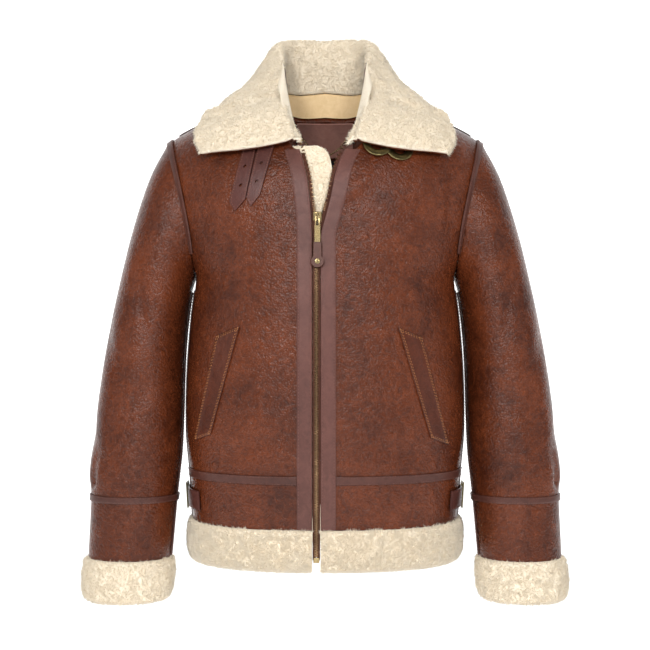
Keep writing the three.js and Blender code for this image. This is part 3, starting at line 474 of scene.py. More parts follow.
# Hides: two tones, the grain's size, how deep it is, how rough the hide is and how much it mirrors
hides = {
    "leather": {"color": (0.14, 0.033, 0.011), "dark": (0.046, 0.01, 0.0036), "grain": 380, "bump": 0.9,
                "rough": 0.33, "shine": 0.24},
    "binding": {"color": (0.14, 0.054, 0.042), "dark": (0.08, 0.029, 0.022), "grain": 900, "bump": 0.15,
                "rough": 0.48, "shine": 0.3},
    "darkBinding": {"color": (0.095, 0.033, 0.023), "dark": (0.05, 0.017, 0.012), "grain": 900, "bump": 0.15,
                    "rough": 0.45, "shine": 0.3},
    "strapLeather": {"color": (0.1, 0.034, 0.027), "dark": (0.05, 0.015, 0.012), "grain": 700, "bump": 0.25,
                     "rough": 0.42, "shine": 0.3},
    "weltLeather": {"color": (0.09, 0.021, 0.0085), "dark": (0.04, 0.009, 0.004), "grain": 500, "bump": 0.4,
                    "rough": 0.4, "shine": 0.25},
    "facing": {"color": (0.42, 0.19, 0.145), "dark": (0.3, 0.135, 0.105), "grain": 900, "bump": 0.1,
               "rough": 0.5, "shine": 0.3},
    "pullLeather": {"color": (0.11, 0.04, 0.027), "dark": (0.06, 0.02, 0.012), "grain": 900, "bump": 0.2,
                    "rough": 0.45, "shine": 0.3},
    "suede": {"color": (0.9, 0.67, 0.39), "dark": (0.78, 0.55, 0.29), "grain": 1400, "bump": 0.15,
              "rough": 0.9, "shine": 0.15},
    "tape": {"color": (0.1, 0.034, 0.02), "dark": (0.055, 0.018, 0.01), "grain": 1500, "bump": 0.3,
             "rough": 0.8, "shine": 0.2},
    "label": {"color": (0.012, 0.013, 0.015), "dark": (0.007, 0.008, 0.009), "grain": 1500, "bump": 0.2,
              "rough": 0.6, "shine": 0.3},
}
metals = {
    "brass": {"color": (0.2, 0.16, 0.07), "dark": (0.07, 0.055, 0.025), "grain": 500, "bump": 0.05, "rough": 0.38},
    "brightBrass": {"color": (0.5, 0.39, 0.2), "dark": (0.22, 0.16, 0.075), "grain": 700, "bump": 0.04,
                    "rough": 0.3},
    "toothBrass": {"color": (0.42, 0.26, 0.14), "dark": (0.16, 0.09, 0.05), "grain": 450, "bump": 0.1,
                   "rough": 0.34},
}
# Wool: the colours of tips and roots, the roots darker as painted shade deep in the pile, the shell's place between
# them, and how bright the collar's wool is, darkened as painted shade because more light falls on the collar than on
# the hem
wools = {"tip": (0.92, 0.84, 0.7), "root": (0.78, 0.65, 0.47), "shell": 0.7, "collar": 0.93}
threads = {"plain": (0.17, 0.065, 0.045), "bright": (0.5, 0.2, 0.065), "seam": (0.3, 0.11, 0.06)}


def nodeGroup(name, inputs, outputs):
    group = bpy.data.node_groups.new(name, "ShaderNodeTree")
    for title, kind, value in inputs:
        group.interface.new_socket(title, in_out="INPUT", socket_type=kind).default_value = value
    for title, kind in outputs:
        group.interface.new_socket(title, in_out="OUTPUT", socket_type=kind)
    return group, group.nodes.new("NodeGroupInput"), group.nodes.new("NodeGroupOutput")


def addNode(tree, kind, inputs=(), **settings):
    node = tree.nodes.new(kind)
    for key, value in settings.items():
        setattr(node, key, value)
    for key, value in dict(inputs).items():
        if isinstance(value, bpy.types.NodeSocket):
            tree.links.new(value, node.inputs[key])
        else:
            node.inputs[key].default_value = value
    return node


def noise(tree, place, scale, detail, rough, distortion=0.0):
    values = {"Vector": place, "Scale": scale, "Detail": detail, "Roughness": rough, "Distortion": distortion}
    return addNode(tree, "ShaderNodeTexNoise", values).outputs["Fac"]


def timesPlus(tree, a, b, c):
    return addNode(tree, "ShaderNodeMath", {0: a, 1: b, 2: c}, operation="MULTIPLY_ADD").outputs[0]


def blend(tree, share, a, b):
    return addNode(tree, "ShaderNodeMix", {"Factor": share, "A": a, "B": b}, data_type="RGBA").outputs["Result"]


def rgba(color):
    return (*color, 1)


number, colour = "NodeSocketFloat", "NodeSocketColor"


# Grained hide: pebbles from rounded cells, wrinkles and tone from noise.
def hideGrain():
    group, given, out = nodeGroup(
        "hideGrain",
        [("Base", colour, rgba((0, 0, 0))), ("Dark", colour, rgba((0, 0, 0))), ("Grain", number, 380),
         ("Rough", number, 0.4)],
        [("Color", colour), ("Roughness", number), ("Height", number)],
    )
    base, dark = given.outputs["Base"], given.outputs["Dark"]
    place = addNode(group, "ShaderNodeTexCoord").outputs["Object"]
    pebble = addNode(
        group, "ShaderNodeTexVoronoi", {"Vector": place, "Scale": given.outputs["Grain"]}, feature="SMOOTH_F1"
    ).outputs["Distance"]
    tone = noise(group, place, 13, 5, 0.62)
    wrinkle = noise(group, place, 95, 4, 0.6, 1.2)
    mixed = timesPlus(group, tone, 0.55, timesPlus(group, wrinkle, 0.45, 0))
    shade = addNode(group, "ShaderNodeMapRange", {"Value": mixed, "From Min": 0.36, "From Max": 0.6}).outputs[0]
    pit = addNode(
        group, "ShaderNodeMapRange", {"Value": pebble, "From Min": 0.25, "From Max": 0.75, "To Max": 0.45}
    ).outputs[0]
    high = timesPlus(group, pebble, -0.7, timesPlus(group, wrinkle, 1.3, 0))
    rough = timesPlus(group, shade, -0.1, given.outputs["Rough"])
    pitted = blend(group, pit, blend(group, shade, dark, base), dark)
    group.links.new(pitted, out.inputs["Color"])
    group.links.new(rough, out.inputs["Roughness"])
    group.links.new(high, out.inputs["Height"])
    return group


# Wool: darker at the roots as painted shade deep in the pile, cream at the tips, with soft patches of tone.
def woolTone():
    group, given, out = nodeGroup(
        "woolTone",
        [("Tip", colour, rgba((1, 1, 1))), ("ShadedRoot", colour, rgba((0, 0, 0))), ("Along", number, 1)],
        [("Color", colour)],
    )
    place = addNode(group, "ShaderNodeTexCoord").outputs["Object"]
    both = addNode(
        group, "ShaderNodeMath", {0: noise(group, place, 70, 3, 0.6), 1: noise(group, place, 260, 2, 0.6)},
        operation="ADD",
    ).outputs[0]
    share = addNode(
        group, "ShaderNodeMapRange", {"Value": both, "From Min": 0.72, "From Max": 1.1, "To Min": 0.7}
    ).outputs[0]
    along = addNode(group, "ShaderNodeMath", {0: share, 1: given.outputs["Along"]}, operation="MULTIPLY").outputs[0]
    group.links.new(blend(group, along, given.outputs["ShadedRoot"], given.outputs["Tip"]), out.inputs["Color"])
    return group


def newMaterial(name, **values):
    material = bpy.data.materials.new(name)
    material.use_nodes = True
    tree = material.node_tree
    shader = tree.nodes["Principled BSDF"]
    for key, value in values.items():
        shader.inputs[key.replace("_", " ")].default_value = value
    materials[name] = material
    return tree, shader


def hideMaterial(name, look, group, **values):
    tree, shader = newMaterial(name, **values)
    given = {"Base": rgba(look["color"]), "Dark": rgba(look["dark"]), "Grain": look["grain"], "Rough": look["rough"]}
    grain = addNode(tree, "ShaderNodeGroup", node_tree=group)
    for key, value in given.items():
        grain.inputs[key].default_value = value
    height = {"Height": grain.outputs["Height"], "Strength": look["bump"], "Distance": 0.0012}
    bump = addNode(tree, "ShaderNodeBump", height)
    tree.links.new(grain.outputs["Color"], shader.inputs["Base Color"])
    tree.links.new(grain.outputs["Roughness"], shader.inputs["Roughness"])
    tree.links.new(bump.outputs["Normal"], shader.inputs["Normal"])


# shade scales both of the wool's colours; below 1 it is painted shade.
def woolMaterial(name, group, withTips, shade):
    tree, shader = newMaterial(name, Roughness=0.95, Specular_IOR_Level=0.12)
    wool = addNode(tree, "ShaderNodeGroup", node_tree=group)
    wool.inputs["Tip"].default_value = rgba([shade * part for part in wools["tip"]])
    wool.inputs["ShadedRoot"].default_value = rgba([shade * part for part in wools["root"]])
    if withTips:
        tips = addNode(tree, "ShaderNodeAttribute", attribute_name="tip")
        tree.links.new(tips.outputs["Fac"], wool.inputs["Along"])
    else:
        # The shell under the strands takes a fixed share between the roots' painted shade and the tips' cream.
        wool.inputs["Along"].default_value = wools["shell"]
        place = addNode(tree, "ShaderNodeTexCoord").outputs["Object"]
        nap = noise(tree, place, 520, 3, 0.6)
        bump = addNode(tree, "ShaderNodeBump", {"Height": nap, "Strength": 0.5, "Distance": 0.002})
        tree.links.new(bump.outputs["Normal"], shader.inputs["Normal"])
    tree.links.new(wool.outputs["Color"], shader.inputs["Base Color"])


grainGroup = hideGrain()
woolGroup = woolTone()
for name, look in hides.items():
    hideMaterial(name, look, grainGroup, Specular_IOR_Level=look["shine"])
for name, look in metals.items():
    hideMaterial(name, look, grainGroup, Metallic=1.0)
# Plain and shaded copies of the wool: the collar's copies are darker, painted shade because more light falls on the
# collar than on the hem.
for name, withTips, shade in [
    ("fleece", False, 1), ("pile", True, 1), ("collarFleece", False, wools["collar"]),
    ("collarPile", True, wools["collar"]),
]:
    woolMaterial(name, woolGroup, withTips, shade)
for name, shade in threads.items():
    newMaterial(name, Base_Color=rgba(shade), Roughness=0.6)
print("materials are made")

# Strands in each piece of wool, and a strand's length and width
strands = {"collar": 62000, "hem": 14000, "cuff": 10000, "guard": 6000, "rim": 3600, "long": 5.2, "wide": 1.4}


# Strands of wool: closed tetrahedra that stand on a grid's surface, leaning the way of a slowly turning field so that
# neighbours gather in locks. Their places are drawn evenly over the grid's area.
def pile(name, grid, count, out, wrap=False, long=strands["long"], material="pile"):
    if wrap:
        grid = np.concatenate([grid, grid[:, :1]], axis=1)
    a, b, c, d = grid[:-1, :-1], grid[:-1, 1:], grid[1:, 1:], grid[1:, :-1]
    corners = np.stack([a, b, c, d], 2).reshape(-1, 4, 3)
    cross = np.cross(corners[:, 2] - corners[:, 0], corners[:, 3] - corners[:, 1])
    size = np.linalg.norm(cross, axis=1)
    pick = random.choice(len(size), count, p=size / size.sum())
    u, v = random.random((2, count, 1))
    q = corners[pick]
    root = q[:, 0] * (1 - u) * (1 - v) + q[:, 1] * u * (1 - v) + q[:, 2] * u * v + q[:, 3] * (1 - u) * v
    normal = unit(cross[pick]) * out
    lean = np.stack([bumps(root, 7.5, shift) for shift in (3, 21, 40)], -1)
    lean -= normal * np.sum(lean * normal, 1, keepdims=True)
    loose = random.normal(0, 0.28, (count, 3))
    sag = [0, 0, -0.35]
    way = unit(normal * 0.8 + lean * 0.8 + loose + sag)
    length = long * random.uniform(0.65, 1.15, (count, 1))
    half = strands["wide"] * random.uniform(0.35, 0.6, (count, 1))
    side = unit(np.cross(way, random.normal(0, 1, (count, 3))))
    other = np.cross(way, side)
    base = root - normal * 1.2
    ring = [base + half * (side * math.cos(t) + other * math.sin(t)) for t in (0, 2.0944, 4.1888)]
    points = np.stack([*ring, root + way * length], 1).reshape(-1, 3)
    first = np.arange(count)[:, None] * 4
    faces = np.concatenate([first + f for f in ([0, 2, 1], [0, 1, 3], [1, 2, 3], [2, 0, 3])])
    # Each strand's tip value is 0.25 at its base and 1 at its point; the wool material paints shade at the base from
    # it.
    addMesh(name, points, faces, material, flip=False, sharp=0, tip=np.tile([0.25, 0.25, 0.25, 1.0], count))


# Whether a grid's faces point a given way at one of its cells: 1, or -1 where they point back.
def facing(grid, i, j, way):
    cross = np.cross(grid[i + 1, j + 1] - grid[i, j], grid[i + 1, j] - grid[i, j + 1])
    return 1.0 if np.dot(cross, way) > 0 else -1.0


# Sewing: one stitch is a thin octahedron. Lines of stitches follow a grid's surface at a share of its width.
sewn = {thread: [] for thread in threads}


def sew(line, normal, thread="plain", long=3.0, gap=1.3, thick=0.42):
    steps = np.linalg.norm(np.diff(line, axis=0), axis=1)
    along = np.concatenate([[0], np.cumsum(steps)])
    count = int(along[-1] / (long + gap))
    if count < 1:
        return
    middle = (np.arange(count) + 0.5) * along[-1] / count
    at = lambda s: np.stack([np.interp(s, along, line[:, k]) for k in range(3)], -1)
    up = unit(np.stack([np.interp(middle, along, normal[:, k]) for k in range(3)], -1))
    ahead = unit(at(middle + long / 2) - at(middle - long / 2))
    side = np.cross(ahead, up)
    p = at(middle)
    ends = [p - ahead * long / 2 - up * 0.25, p + side * thick, p + up * thick, p - side * thick, p - up * 0.3,
            p + ahead * long / 2 - up * 0.25]
    sewn[thread].append(np.stack(ends, 1))


def gridLine(grid, share, columns=True):
    g = grid if columns else grid.transpose(1, 0, 2)
    at = share * (g.shape[1] - 1)
    i = min(int(at), g.shape[1] - 2)
    width = np.linalg.norm(np.diff(g, axis=1), axis=-1)
    along = np.concatenate([np.zeros((g.shape[0], 1)), np.cumsum(width, 1)], 1)
    target = along[:, -1] * share
    line = np.stack([
        [np.interp(t, row, points[:, k]) for t, row, points in zip(target, along, g)] for k in range(3)
    ], -1)
    across = g[:, -1] - g[:, 0]
    ahead = np.gradient(line, axis=0)
    return line, unit(np.cross(ahead, across))


# Sews along both long edges of a strip, this far in from them.
def sewEdges(name, inset, thread="plain", columns=True, which=(0, 1), out=None, **how):
    grid = outerGrids[name]
    g = grid if columns else grid.transpose(1, 0, 2)
    width = np.linalg.norm(np.diff(g, axis=1), axis=-1).sum(1).mean()
    for end in which:
        line, normal = gridLine(grid, inset / width if end == 0 else 1 - inset / width, columns)
        middle = line.mean(0) * [1, 1, 0]
        if np.sum(normal * (line - (out if out is not None else middle * 0)) * [1, 1, 0]) < 0:
            normal = -normal
        sew(line + normal * 0.15, normal, thread, **how)


# Leather panels
underShares = 1 - (1 - np.linspace(0, 1, 12)) ** 1.4
pastShares = 1 - (1 - np.linspace(0, 1, 34)[1:]) ** 1.6
seamTurn, seamLevel = 0.08, 0.0016


def frontTurns(name, level):
    side = sides[name]
    level = np.atleast_1d(np.asarray(level, float))
    inset = np.where(level < -1e-6, seamTurn, 0)[:, None]
    under = mix(edgeTurn(name, level)[:, None], side * cornerTurn, underShares)
    past = mix(side * cornerTurn, side * (90 - inset), pastShares)
    return np.concatenate([under, past], 1)


def backTurns(level):
    level = np.atleast_1d(np.asarray(level, float))
    inset = np.where(level < -1e-6, seamTurn, 0.0004)[:, None]
    half = np.concatenate([
        mix(90 + inset, 180 - cornerTurn, (1 - pastShares)[::-1]),
        np.broadcast_to(mix(180 - cornerTurn, 180, np.linspace(0, 1, 12)), (len(level), 12)),
    ], 1)
    return np.concatenate([half, 360 - half[:, -2::-1]], 1)


def rowsOf(turns, levels):
    return turns, np.broadcast_to(np.asarray(levels)[:, None], turns.shape)


def raisedRows(base, column, name=None):
    top = neckLevel(shareOf(base), column) - seamLevel
    levels = mix(1, top, np.linspace(0, 1, 16)[1:, None])
    turns = np.broadcast_to(base, levels.shape).copy()
    if name:
        edge = edgeTurn(name, levels[:, 0])[:, None]
        turns[:, :12] = mix(edge, sides[name] * cornerTurn, underShares)
    return turns, levels


lowLevels = np.linspace(levelOf(waistZ + 0.15), 0, 34)
armLevels = np.linspace(0, 1, 16)[1:]


def panel(name, turns, levels):
    shell(name, onBody(turns, levels), onBody(turns, levels, -hide), "leather")


def joinRows(*parts):
    return np.concatenate([p[0] for p in parts]), np.concatenate([p[1] for p in parts])


bandLevels = levelOf(np.linspace(waistZ - 0.15, bandEndZ + 0.15, 10))
levels = np.concatenate([lowLevels, armLevels])
for name in sides:
    turns, grid = joinRows(
        rowsOf(frontTurns(name, levels), levels), raisedRows(frontTurns(name, 1), "front", name)
    )
    panel(f"front_{name}", turns, grid)
    panel(f"waistband_front_{name}", *rowsOf(frontTurns(name, bandLevels), bandLevels))
turns, grid = joinRows(rowsOf(backTurns(levels), levels), raisedRows(backTurns(1), "back"))
panel("back", turns, grid)
panel("waistband_back", *rowsOf(backTurns(bandLevels), bandLevels))
print("fronts and back are made")

# Fleece bands: down is how far along the band, out and in how far its faces stand from the leather's outside.
fleeceRows = table("down out in", [
    (0, 0.5, -7), (0.06, 5, -10), (0.35, 7.5, -12), (0.75, 7, -12), (0.95, 3.5, -9), (1, -1, -5.5),
])
downs = np.concatenate([[0, 0.02, 0.06], np.linspace(0.1, 0.94, 14), [0.98, 1]])
fleeceOut = np.interp(downs, fleeceRows["down"], fleeceRows["out"])[:, None]
fleeceIn = np.interp(downs, fleeceRows["down"], fleeceRows["in"])[:, None]


def curls(points, amount=1.0):
    return amount * (bumps(points, 12, 5) * 0.9 + bumps(points, 5.5, 30) * 0.45)


# A band of fleece with its wool; place gives its points at given lifts.
def fleeceBand(name, place, count, wrap=False):
    plain = place(fleeceOut)
    rim = np.minimum(1, 8 * downs * (1 - downs) + 0.1)[:, None]
    outer = place(fleeceOut + curls(plain) * rim - 0.8)
    inner = place(fleeceIn)
    shell(name, outer, inner, "fleece", wrap=wrap, sharp=0)
    i, j = outer.shape[0] // 2, outer.shape[1] // 3
    outwards = (place(fleeceOut + 4) - plain)[i, j]
    pile(f"{name}_pile", outer, count, facing(outer, i, j, outwards), wrap)
    edge = np.stack([mix(outer[-1], inner[-1], t) for t in (0, 0.5, 1)])
    pile(f"{name}_edge_pile", edge, count // 6, facing(edge, 1, j, [0, 0, -1]), wrap)


hemLevels = levelOf(mix(bandEndZ - 0.15, hemZ, downs))
for name in [*sides, "back"]:
    turns, grid = rowsOf(backTurns(hemLevels) if name == "back" else frontTurns(name, hemLevels), hemLevels)
    place = lambda lift, turns=turns, grid=grid: onBody(turns, grid, lift)
    count = strands["hem"] * (2 if name == "back" else 1)
    fleeceBand(f"hem_fleece_{name}", place, count)

# Sleeves
around = np.linspace(0, 360, 97)[:-1][None, :]
fleeceAt = (cuffEndAt + (0.3 + downs * (cuffEndZ - cuffHemZ)) / 89)[:, None]


def tube(name, side, at):
    at = at[:, None]
    shell(name, onArm(side, around, at), onArm(side, around, at, -hide), "leather", wrap=True)


for name in sides:
    ats = np.concatenate([np.linspace(0, 0.6, 10)[:-1], np.linspace(0.6, 7.8, 80), [7.9, wristAt]])
    tube(f"sleeve_{name}", name, ats)
    tube(f"cuff_{name}", name, np.linspace(wristAt + 0.005, cuffEndAt, 12))
    place = lambda lift, name=name: onArm(name, around, fleeceAt, lift)
    fleeceBand(f"cuff_fleece_{name}", place, strands["cuff"], True)
    seamLift = (bindThick + 1.1) * np.clip(2 - np.abs(around - 270) / 12, 0, 1)
    ats = wristAt + np.array([-0.08, -0.072, -0.03, 0.03, 0.072, 0.08])[:, None]
    drop = np.array([0.5, 0.1, 0, 0, 0.1, 0.5])[:, None]
    outer = onArm(name, around, ats, layGap + bindThick + seamLift - drop)
    inner = onArm(name, around, ats, layGap + seamLift)
    shell(f"wrist_trim_{name}", outer, inner, "darkBinding", "laid", True)
    ats = np.linspace(0.9, 8.98, 110)[:, None]
    half = np.degrees(6.5 / smooth(sleeveRows, "at", "deep", ats))
    spread = np.array([-1, -0.86, -0.4, 0, 0.4, 0.86, 1])
    drop = np.array([0.6, 0.05, 0, -0.2, 0, 0.05, 0.6])
    outer = onArm(name, 270 + half * spread, ats, layGap + bindThick - drop)
    inner = onArm(name, 270 + half * spread, ats, layGap)
    shell(f"sleeve_seam_{name}", outer, inner, "darkBinding", "laid")
print("sleeves are made")


# Strips over the seams
def turnFromEdge(level, distance, back):
    level, distance = np.broadcast_arrays(np.asarray(level, float), np.asarray(distance, float))
    edge = body(90, level)
    edge[..., 1] = body(90.0004 if back else 90, level)[..., 1]
    near, far = np.zeros(level.shape), np.full(level.shape, 60.0)
    for _ in range(30):
        middle = (near + far) / 2
        short = np.linalg.norm(body(90 + middle if back else 90 - middle, level) - edge, axis=-1) < distance
        near, far = np.where(short, middle, near), np.where(short, far, middle)
    return 90 + near if back else 90 - near


def mirrored(side, turn):
    return turn if side > 0 else np.where(turn <= 90, -turn, 360 - turn)


def trim(name, turns, levels, lift, material="darkBinding", thick=bindThick, drop=0.5, crown=0.0):
    rows, columns = turns.shape
    lifts = roundedLift(rows, columns, lift, drop) + crown * np.sin(np.linspace(0, np.pi, columns))
    shell(name, onBody(turns, levels, lifts), onBody(turns, levels, lift - thick), material, "laid")


waistTrimZ = waistZ + np.array([-6, -5.6, -3, 0, 3, 5.6, 6.0])
placketLevels = np.linspace(levelOf(bandEndZ + 1), 1.3, 90)[:, None]
tapeLevels = np.linspace(levelOf(-657), 1.28, 90)[:, None]
topLift = layGap + bindThick
for name, side in sides.items():
    insets = edged(7, 0.05)[None, :] * placketWide
    turns = edgeTurn(name, placketLevels, insets * side)
    trim(f"placket_{name}", turns, placketLevels, topLift, "binding", drop=0.6)
    insets = mix(-0.8, -5.4, np.linspace(0, 1, 4))[None, :]
    trim(f"zip_tape_{name}", edgeTurn(name, tapeLevels, insets * side), tapeLevels, -1, "tape", 1.6, drop=0)
    edge = -18 - placketWide - 0.5 if name == "right" else -6 + placketWide + 0.5
    end = float(turnFromEdge(levelOf(waistZ), 8.5, False))
    starts = placeAt(edge, waistTrimZ)[0][:, None]
    turns = mix(starts, side * end, np.linspace(0, 1, 64))
    trim(f"waist_trim_{name}", turns, levelOf(waistTrimZ)[:, None], topLift)
    z = np.linspace(bandEndZ + 1, underarmZ - 20, 60)
    reach = np.minimum(7.5, 3 + (underarmZ - z) * 0.5)
    near, far = turnFromEdge(levelOf(z), reach, False)[:, None], turnFromEdge(levelOf(z), reach, True)[:, None]
    turns = np.concatenate([mix(near, 90, np.array([0, 0.08, 0.5, 1])), mix(90, far, np.array([0.5, 0.92, 1]))], 1)
    turns = turns if side > 0 else 360 - turns
    trim(f"side_trim_{name}", turns, levelOf(z)[:, None], topLift)
    up = np.concatenate([np.linspace(0.32, 1.9, 44), [1.94, 1.97, 1.99]])
    parts = []
    for back in (False, True):
        rows = up[::-1] if back else up
        near = turnFromEdge(rows, 0.8, back)[:, None]
        far = turnFromEdge(rows, 11.5, back)[:, None]
        grid = mirrored(side, mix(near, far, edged(5, 0.06)))
        parts.append((grid, rows[:, None] + 0 * grid))
    trim(f"armhole_trim_{name}", *joinRows(*parts), topLift + 0.5, crown=0.4)
    shares = np.linspace(neckShare + 0.04, 0.925, 44)
    levels = np.array([1.93, 1.938, 1.97, 2, 2.03, 2.062, 2.07])[:, None]
    turns = side * turnOf(shares)[None, :] + 0 * levels
    trim(f"shoulder_trim_{name}", turns, levels, topLift)
end = float(turnFromEdge(levelOf(waistZ), 8.5, True))
turns = np.linspace(end, 360 - end, 110) + 0 * waistTrimZ[:, None]
trim("waist_trim_back", turns, levelOf(waistTrimZ)[:, None], topLift)
print("seam strips are made")


# Collar: a sheet from the band, over a roll, and down to its outer edge. One number goes round it, -1 at the right
# front end, 0 at the middle of the back and 1 at the left front end; across goes from the band to the outer edge.
def neckline(round_):
    side = np.where(round_ < 0, -1, 1)
    at = np.abs(round_)
    share = neckShare * np.minimum(at, 0.5) / 0.5
    behind = np.where(side > 0, 180 - turnOf(share), 180 + turnOf(share))
    low = float(neckLevel(np.array(0.15), "front"))
    edges = np.where(side > 0, abs(edgeTurn("left", low, 2)), abs(edgeTurn("right", low, -2)))
    ahead = mix(cornerTurn, edges, (at - 0.5) / 0.5)
    level = np.where(at <= 0.5, neckLevel(share, "back"), neckLevel(shareOf(ahead), "front"))
    return np.where(at <= 0.5, behind, side * ahead), level


def clearOfBody(point, gap):
    point = point.copy()
    for _ in range(3):
        turn, level = placeAt(point[..., 0], np.minimum(point[..., 2], 4), False)
        turn = np.where(point[..., 1] > 0, 180 - turn, turn)
        normal = bodyNormal(turn, level)
        off = np.sum((point - body(turn, level)) * normal, -1)
        point += normal * np.maximum(0, gap - off)[..., None]
    return point


# A smooth curve through six points at shares 0 to 1, each span's pace set by the square root of its chord.
def throughPoints(points, share):
    last = len(points) - 1
    at = np.clip(np.asarray(share) * last, 0, last - 1e-9)
    i = at.astype(int)
    w = (at - i)[..., None]
    padded = [2 * points[0] - points[1], *points, 2 * points[-1] - points[-2]]
    a, b, c, d = (np.choose(i[..., None], [padded[k + s] for k in range(last)]) for s in range(4))
    pace = lambda p, q: np.maximum(np.sum((p - q) ** 2, -1, keepdims=True), 1e-12) ** 0.25
    da, db, dc = pace(a, b), pace(b, c), pace(c, d)
    ta = ((b - a) / da - (c - a) / (da + db) + (c - b) / db) * db
    tb = ((c - b) / db - (d - b) / (db + dc) + (d - c) / dc) * db
    return b + ta * w + (-3 * b + 3 * c - 2 * ta - tb) * w**2 + (2 * b - 2 * c + ta + tb) * w**3


def collarMiddle(round_, across):
    round_, across = np.broadcast_arrays(np.asarray(round_, float), np.asarray(across, float))
    side = np.where(round_ < 0, -1.0, 1.0)
    at = np.abs(round_)
    size = lambda column: smooth(collarRows, "at", column, at)
    seam = onBody(*neckline(round_), -1 + 0 * at)
    start = seam + stack(0, 0, size("band") + 1.5)
    crest = stack(side * size("crestX"), size("crestY"), size("crestZ"))
    fall = stack(side * size("fallX"), size("fallY"), size("fallZ"))
    arch = size("edgeArch")
    turn = turnOf(np.maximum(size("edgeShare"), 0))
    behind = arch > 90
    edge = onBody(
        np.where(behind, np.where(side > 0, 180 - turn, 180 + turn), side * turn),
        np.where(behind, 1 + (180 - arch) / 90, 1 + arch / 90),
        collarThick / 2 + 2 + 0 * arch,
    )
    away = unit((fall - crest) * [1, 1, 0])
    roll = size("roll")[..., None]
    near = mix(start, crest, 0.62) - away * roll * 0.45
    far = crest + away * roll * 1.3 - stack(0, 0, roll[..., 0] * 0.7)
    fall = clearOfBody(fall, collarThick / 2 + 3)
    point = throughPoints([start, near, crest, far, fall, edge], across)
    gap = collarThick / 2 + mix(3, 9.2, smoothStep(at, 0.78, 0.92))
    return np.where((across > 0.45)[..., None], clearOfBody(point, gap), point)


def collarPoint(round_, across, lift):
    e = 0.01
    along = collarMiddle(round_, np.minimum(1, across + e)) - collarMiddle(round_, np.maximum(0, across - e))
    aside = collarMiddle(np.minimum(1, round_ + e), across) - collarMiddle(np.maximum(-1, round_ - e), across)
    normal = unit(np.cross(along, aside))
    return collarMiddle(round_, across) + normal * np.asarray(lift)[..., None]


rounds = np.sin(np.linspace(-1, 1, 121) * np.pi / 2)[None, :] * 0.35 + np.linspace(-1, 1, 121)[None, :] * 0.65
acrosses = np.concatenate([[0, 0.012], np.linspace(0.03, 0.97, 54), [0.988, 1]])[:, None]
rim = np.minimum(1, 12 * acrosses * (1 - acrosses) + 0.05)
woolSide = collarPoint(rounds, acrosses, -4 + (0.9 - curls(collarPoint(rounds, acrosses, -4), 1.1)) * rim)
leatherSide = collarPoint(rounds, acrosses, 1.2)
shell("collar", woolSide, leatherSide, "collarFleece", sharp=0)
under = acrosses[18:]
shell("collar_underside", collarPoint(rounds, under, 1.5), collarPoint(rounds, under, 3.6), "leather", node="collar")
i, j = 30, 60
out = facing(woolSide, i, j, woolSide[i, j] - leatherSide[i, j])
for name in ("collar_pile", "collar_pile_second"):
    pile(name, woolSide, strands["collar"] // 2, out, material="collarPile")
rimGrid = np.stack([mix(woolSide[-1], leatherSide[-1], t) for t in (0, 0.5, 1)])
out = facing(rimGrid, 0, j, woolSide[-1, j] - woolSide[-4, j])
pile("collar_edge_pile", rimGrid, strands["rim"], out, long=6, material="collarPile")

# Inside of the neck
innerRounds = rounds[:, np.abs(rounds[0]) < 0.5]
ups = np.linspace(0, 1, 10)[:, None]
bandHigh = mix(4.4, smooth(collarRows, "at", "band", np.abs(innerRounds)) + 0.6, ups)
bandSheets = [onBody(*neckline(innerRounds), lift) + stack(0, 0, bandHigh) for lift in (-1, -5)]
shell("neck_band", *bandSheets, "suede")


def backPatch(name, xs, zs, lift, thick, material):
    turns, levels = placeAt(xs[None, :], zs[:, None], True)
    shell(name, onBody(turns, levels, lift), onBody(turns, levels, lift - thick), material, "laid")


backPatch("back_facing", np.linspace(-44, 44, 40), np.linspace(-62, -12, 18), -hide - 1.3, 1.5, "facing")
backPatch("neck_label", np.linspace(-36, 36, 24), np.linspace(-104, -66, 12), -hide - 1.4, 1, "label")

# Fleece guard behind the zip
guardZ = np.concatenate([np.linspace(-600, -240, 40), np.linspace(-232, -74, 36)])[:, None]
edge = smooth(guardRows, "z", "edge", guardZ)
far = smooth(openingRows, "z", "right", guardZ) - 20
shares = edged(9, 0.05)[None, :]
turns, levels = placeAt(mix(far, edge, shares), guardZ)
shell("wind_guard", onBody(turns, levels, -hide - 1.6), onBody(turns, levels, -hide - 9.5), "fleece")
guardTop = outerGrids["wind_guard"][34:]
pile("wind_guard_pile", guardTop, strands["guard"], facing(guardTop, 19, 4, [0, -1, 0]), long=4.0)
print("collar and neck are made")


# Rings: a rounded oblong section carried round a circle.
def ringPoints(radius, halfWide, halfThick, count=72, section=14):
    turn = np.linspace(0, 2 * np.pi, count + 1)[:-1][:, None]
    s = np.linspace(0, 2 * np.pi, section + 1)[:-1][None, :]
    power = lambda v: np.sign(v) * np.abs(v) ** 0.7
    r = radius + halfWide * power(np.cos(s))
    points = np.stack([r * np.cos(turn), r * np.sin(turn), halfThick * power(np.sin(s)) + 0 * turn], -1)
    ids = np.arange(count * section).reshape(count, section)
    a, b = ids, np.roll(ids, -1, 0)
    faces = np.stack([a, b, np.roll(b, -1, 1), np.roll(a, -1, 1)], -1).reshape(-1, 4)
    return points.reshape(-1, 3), faces


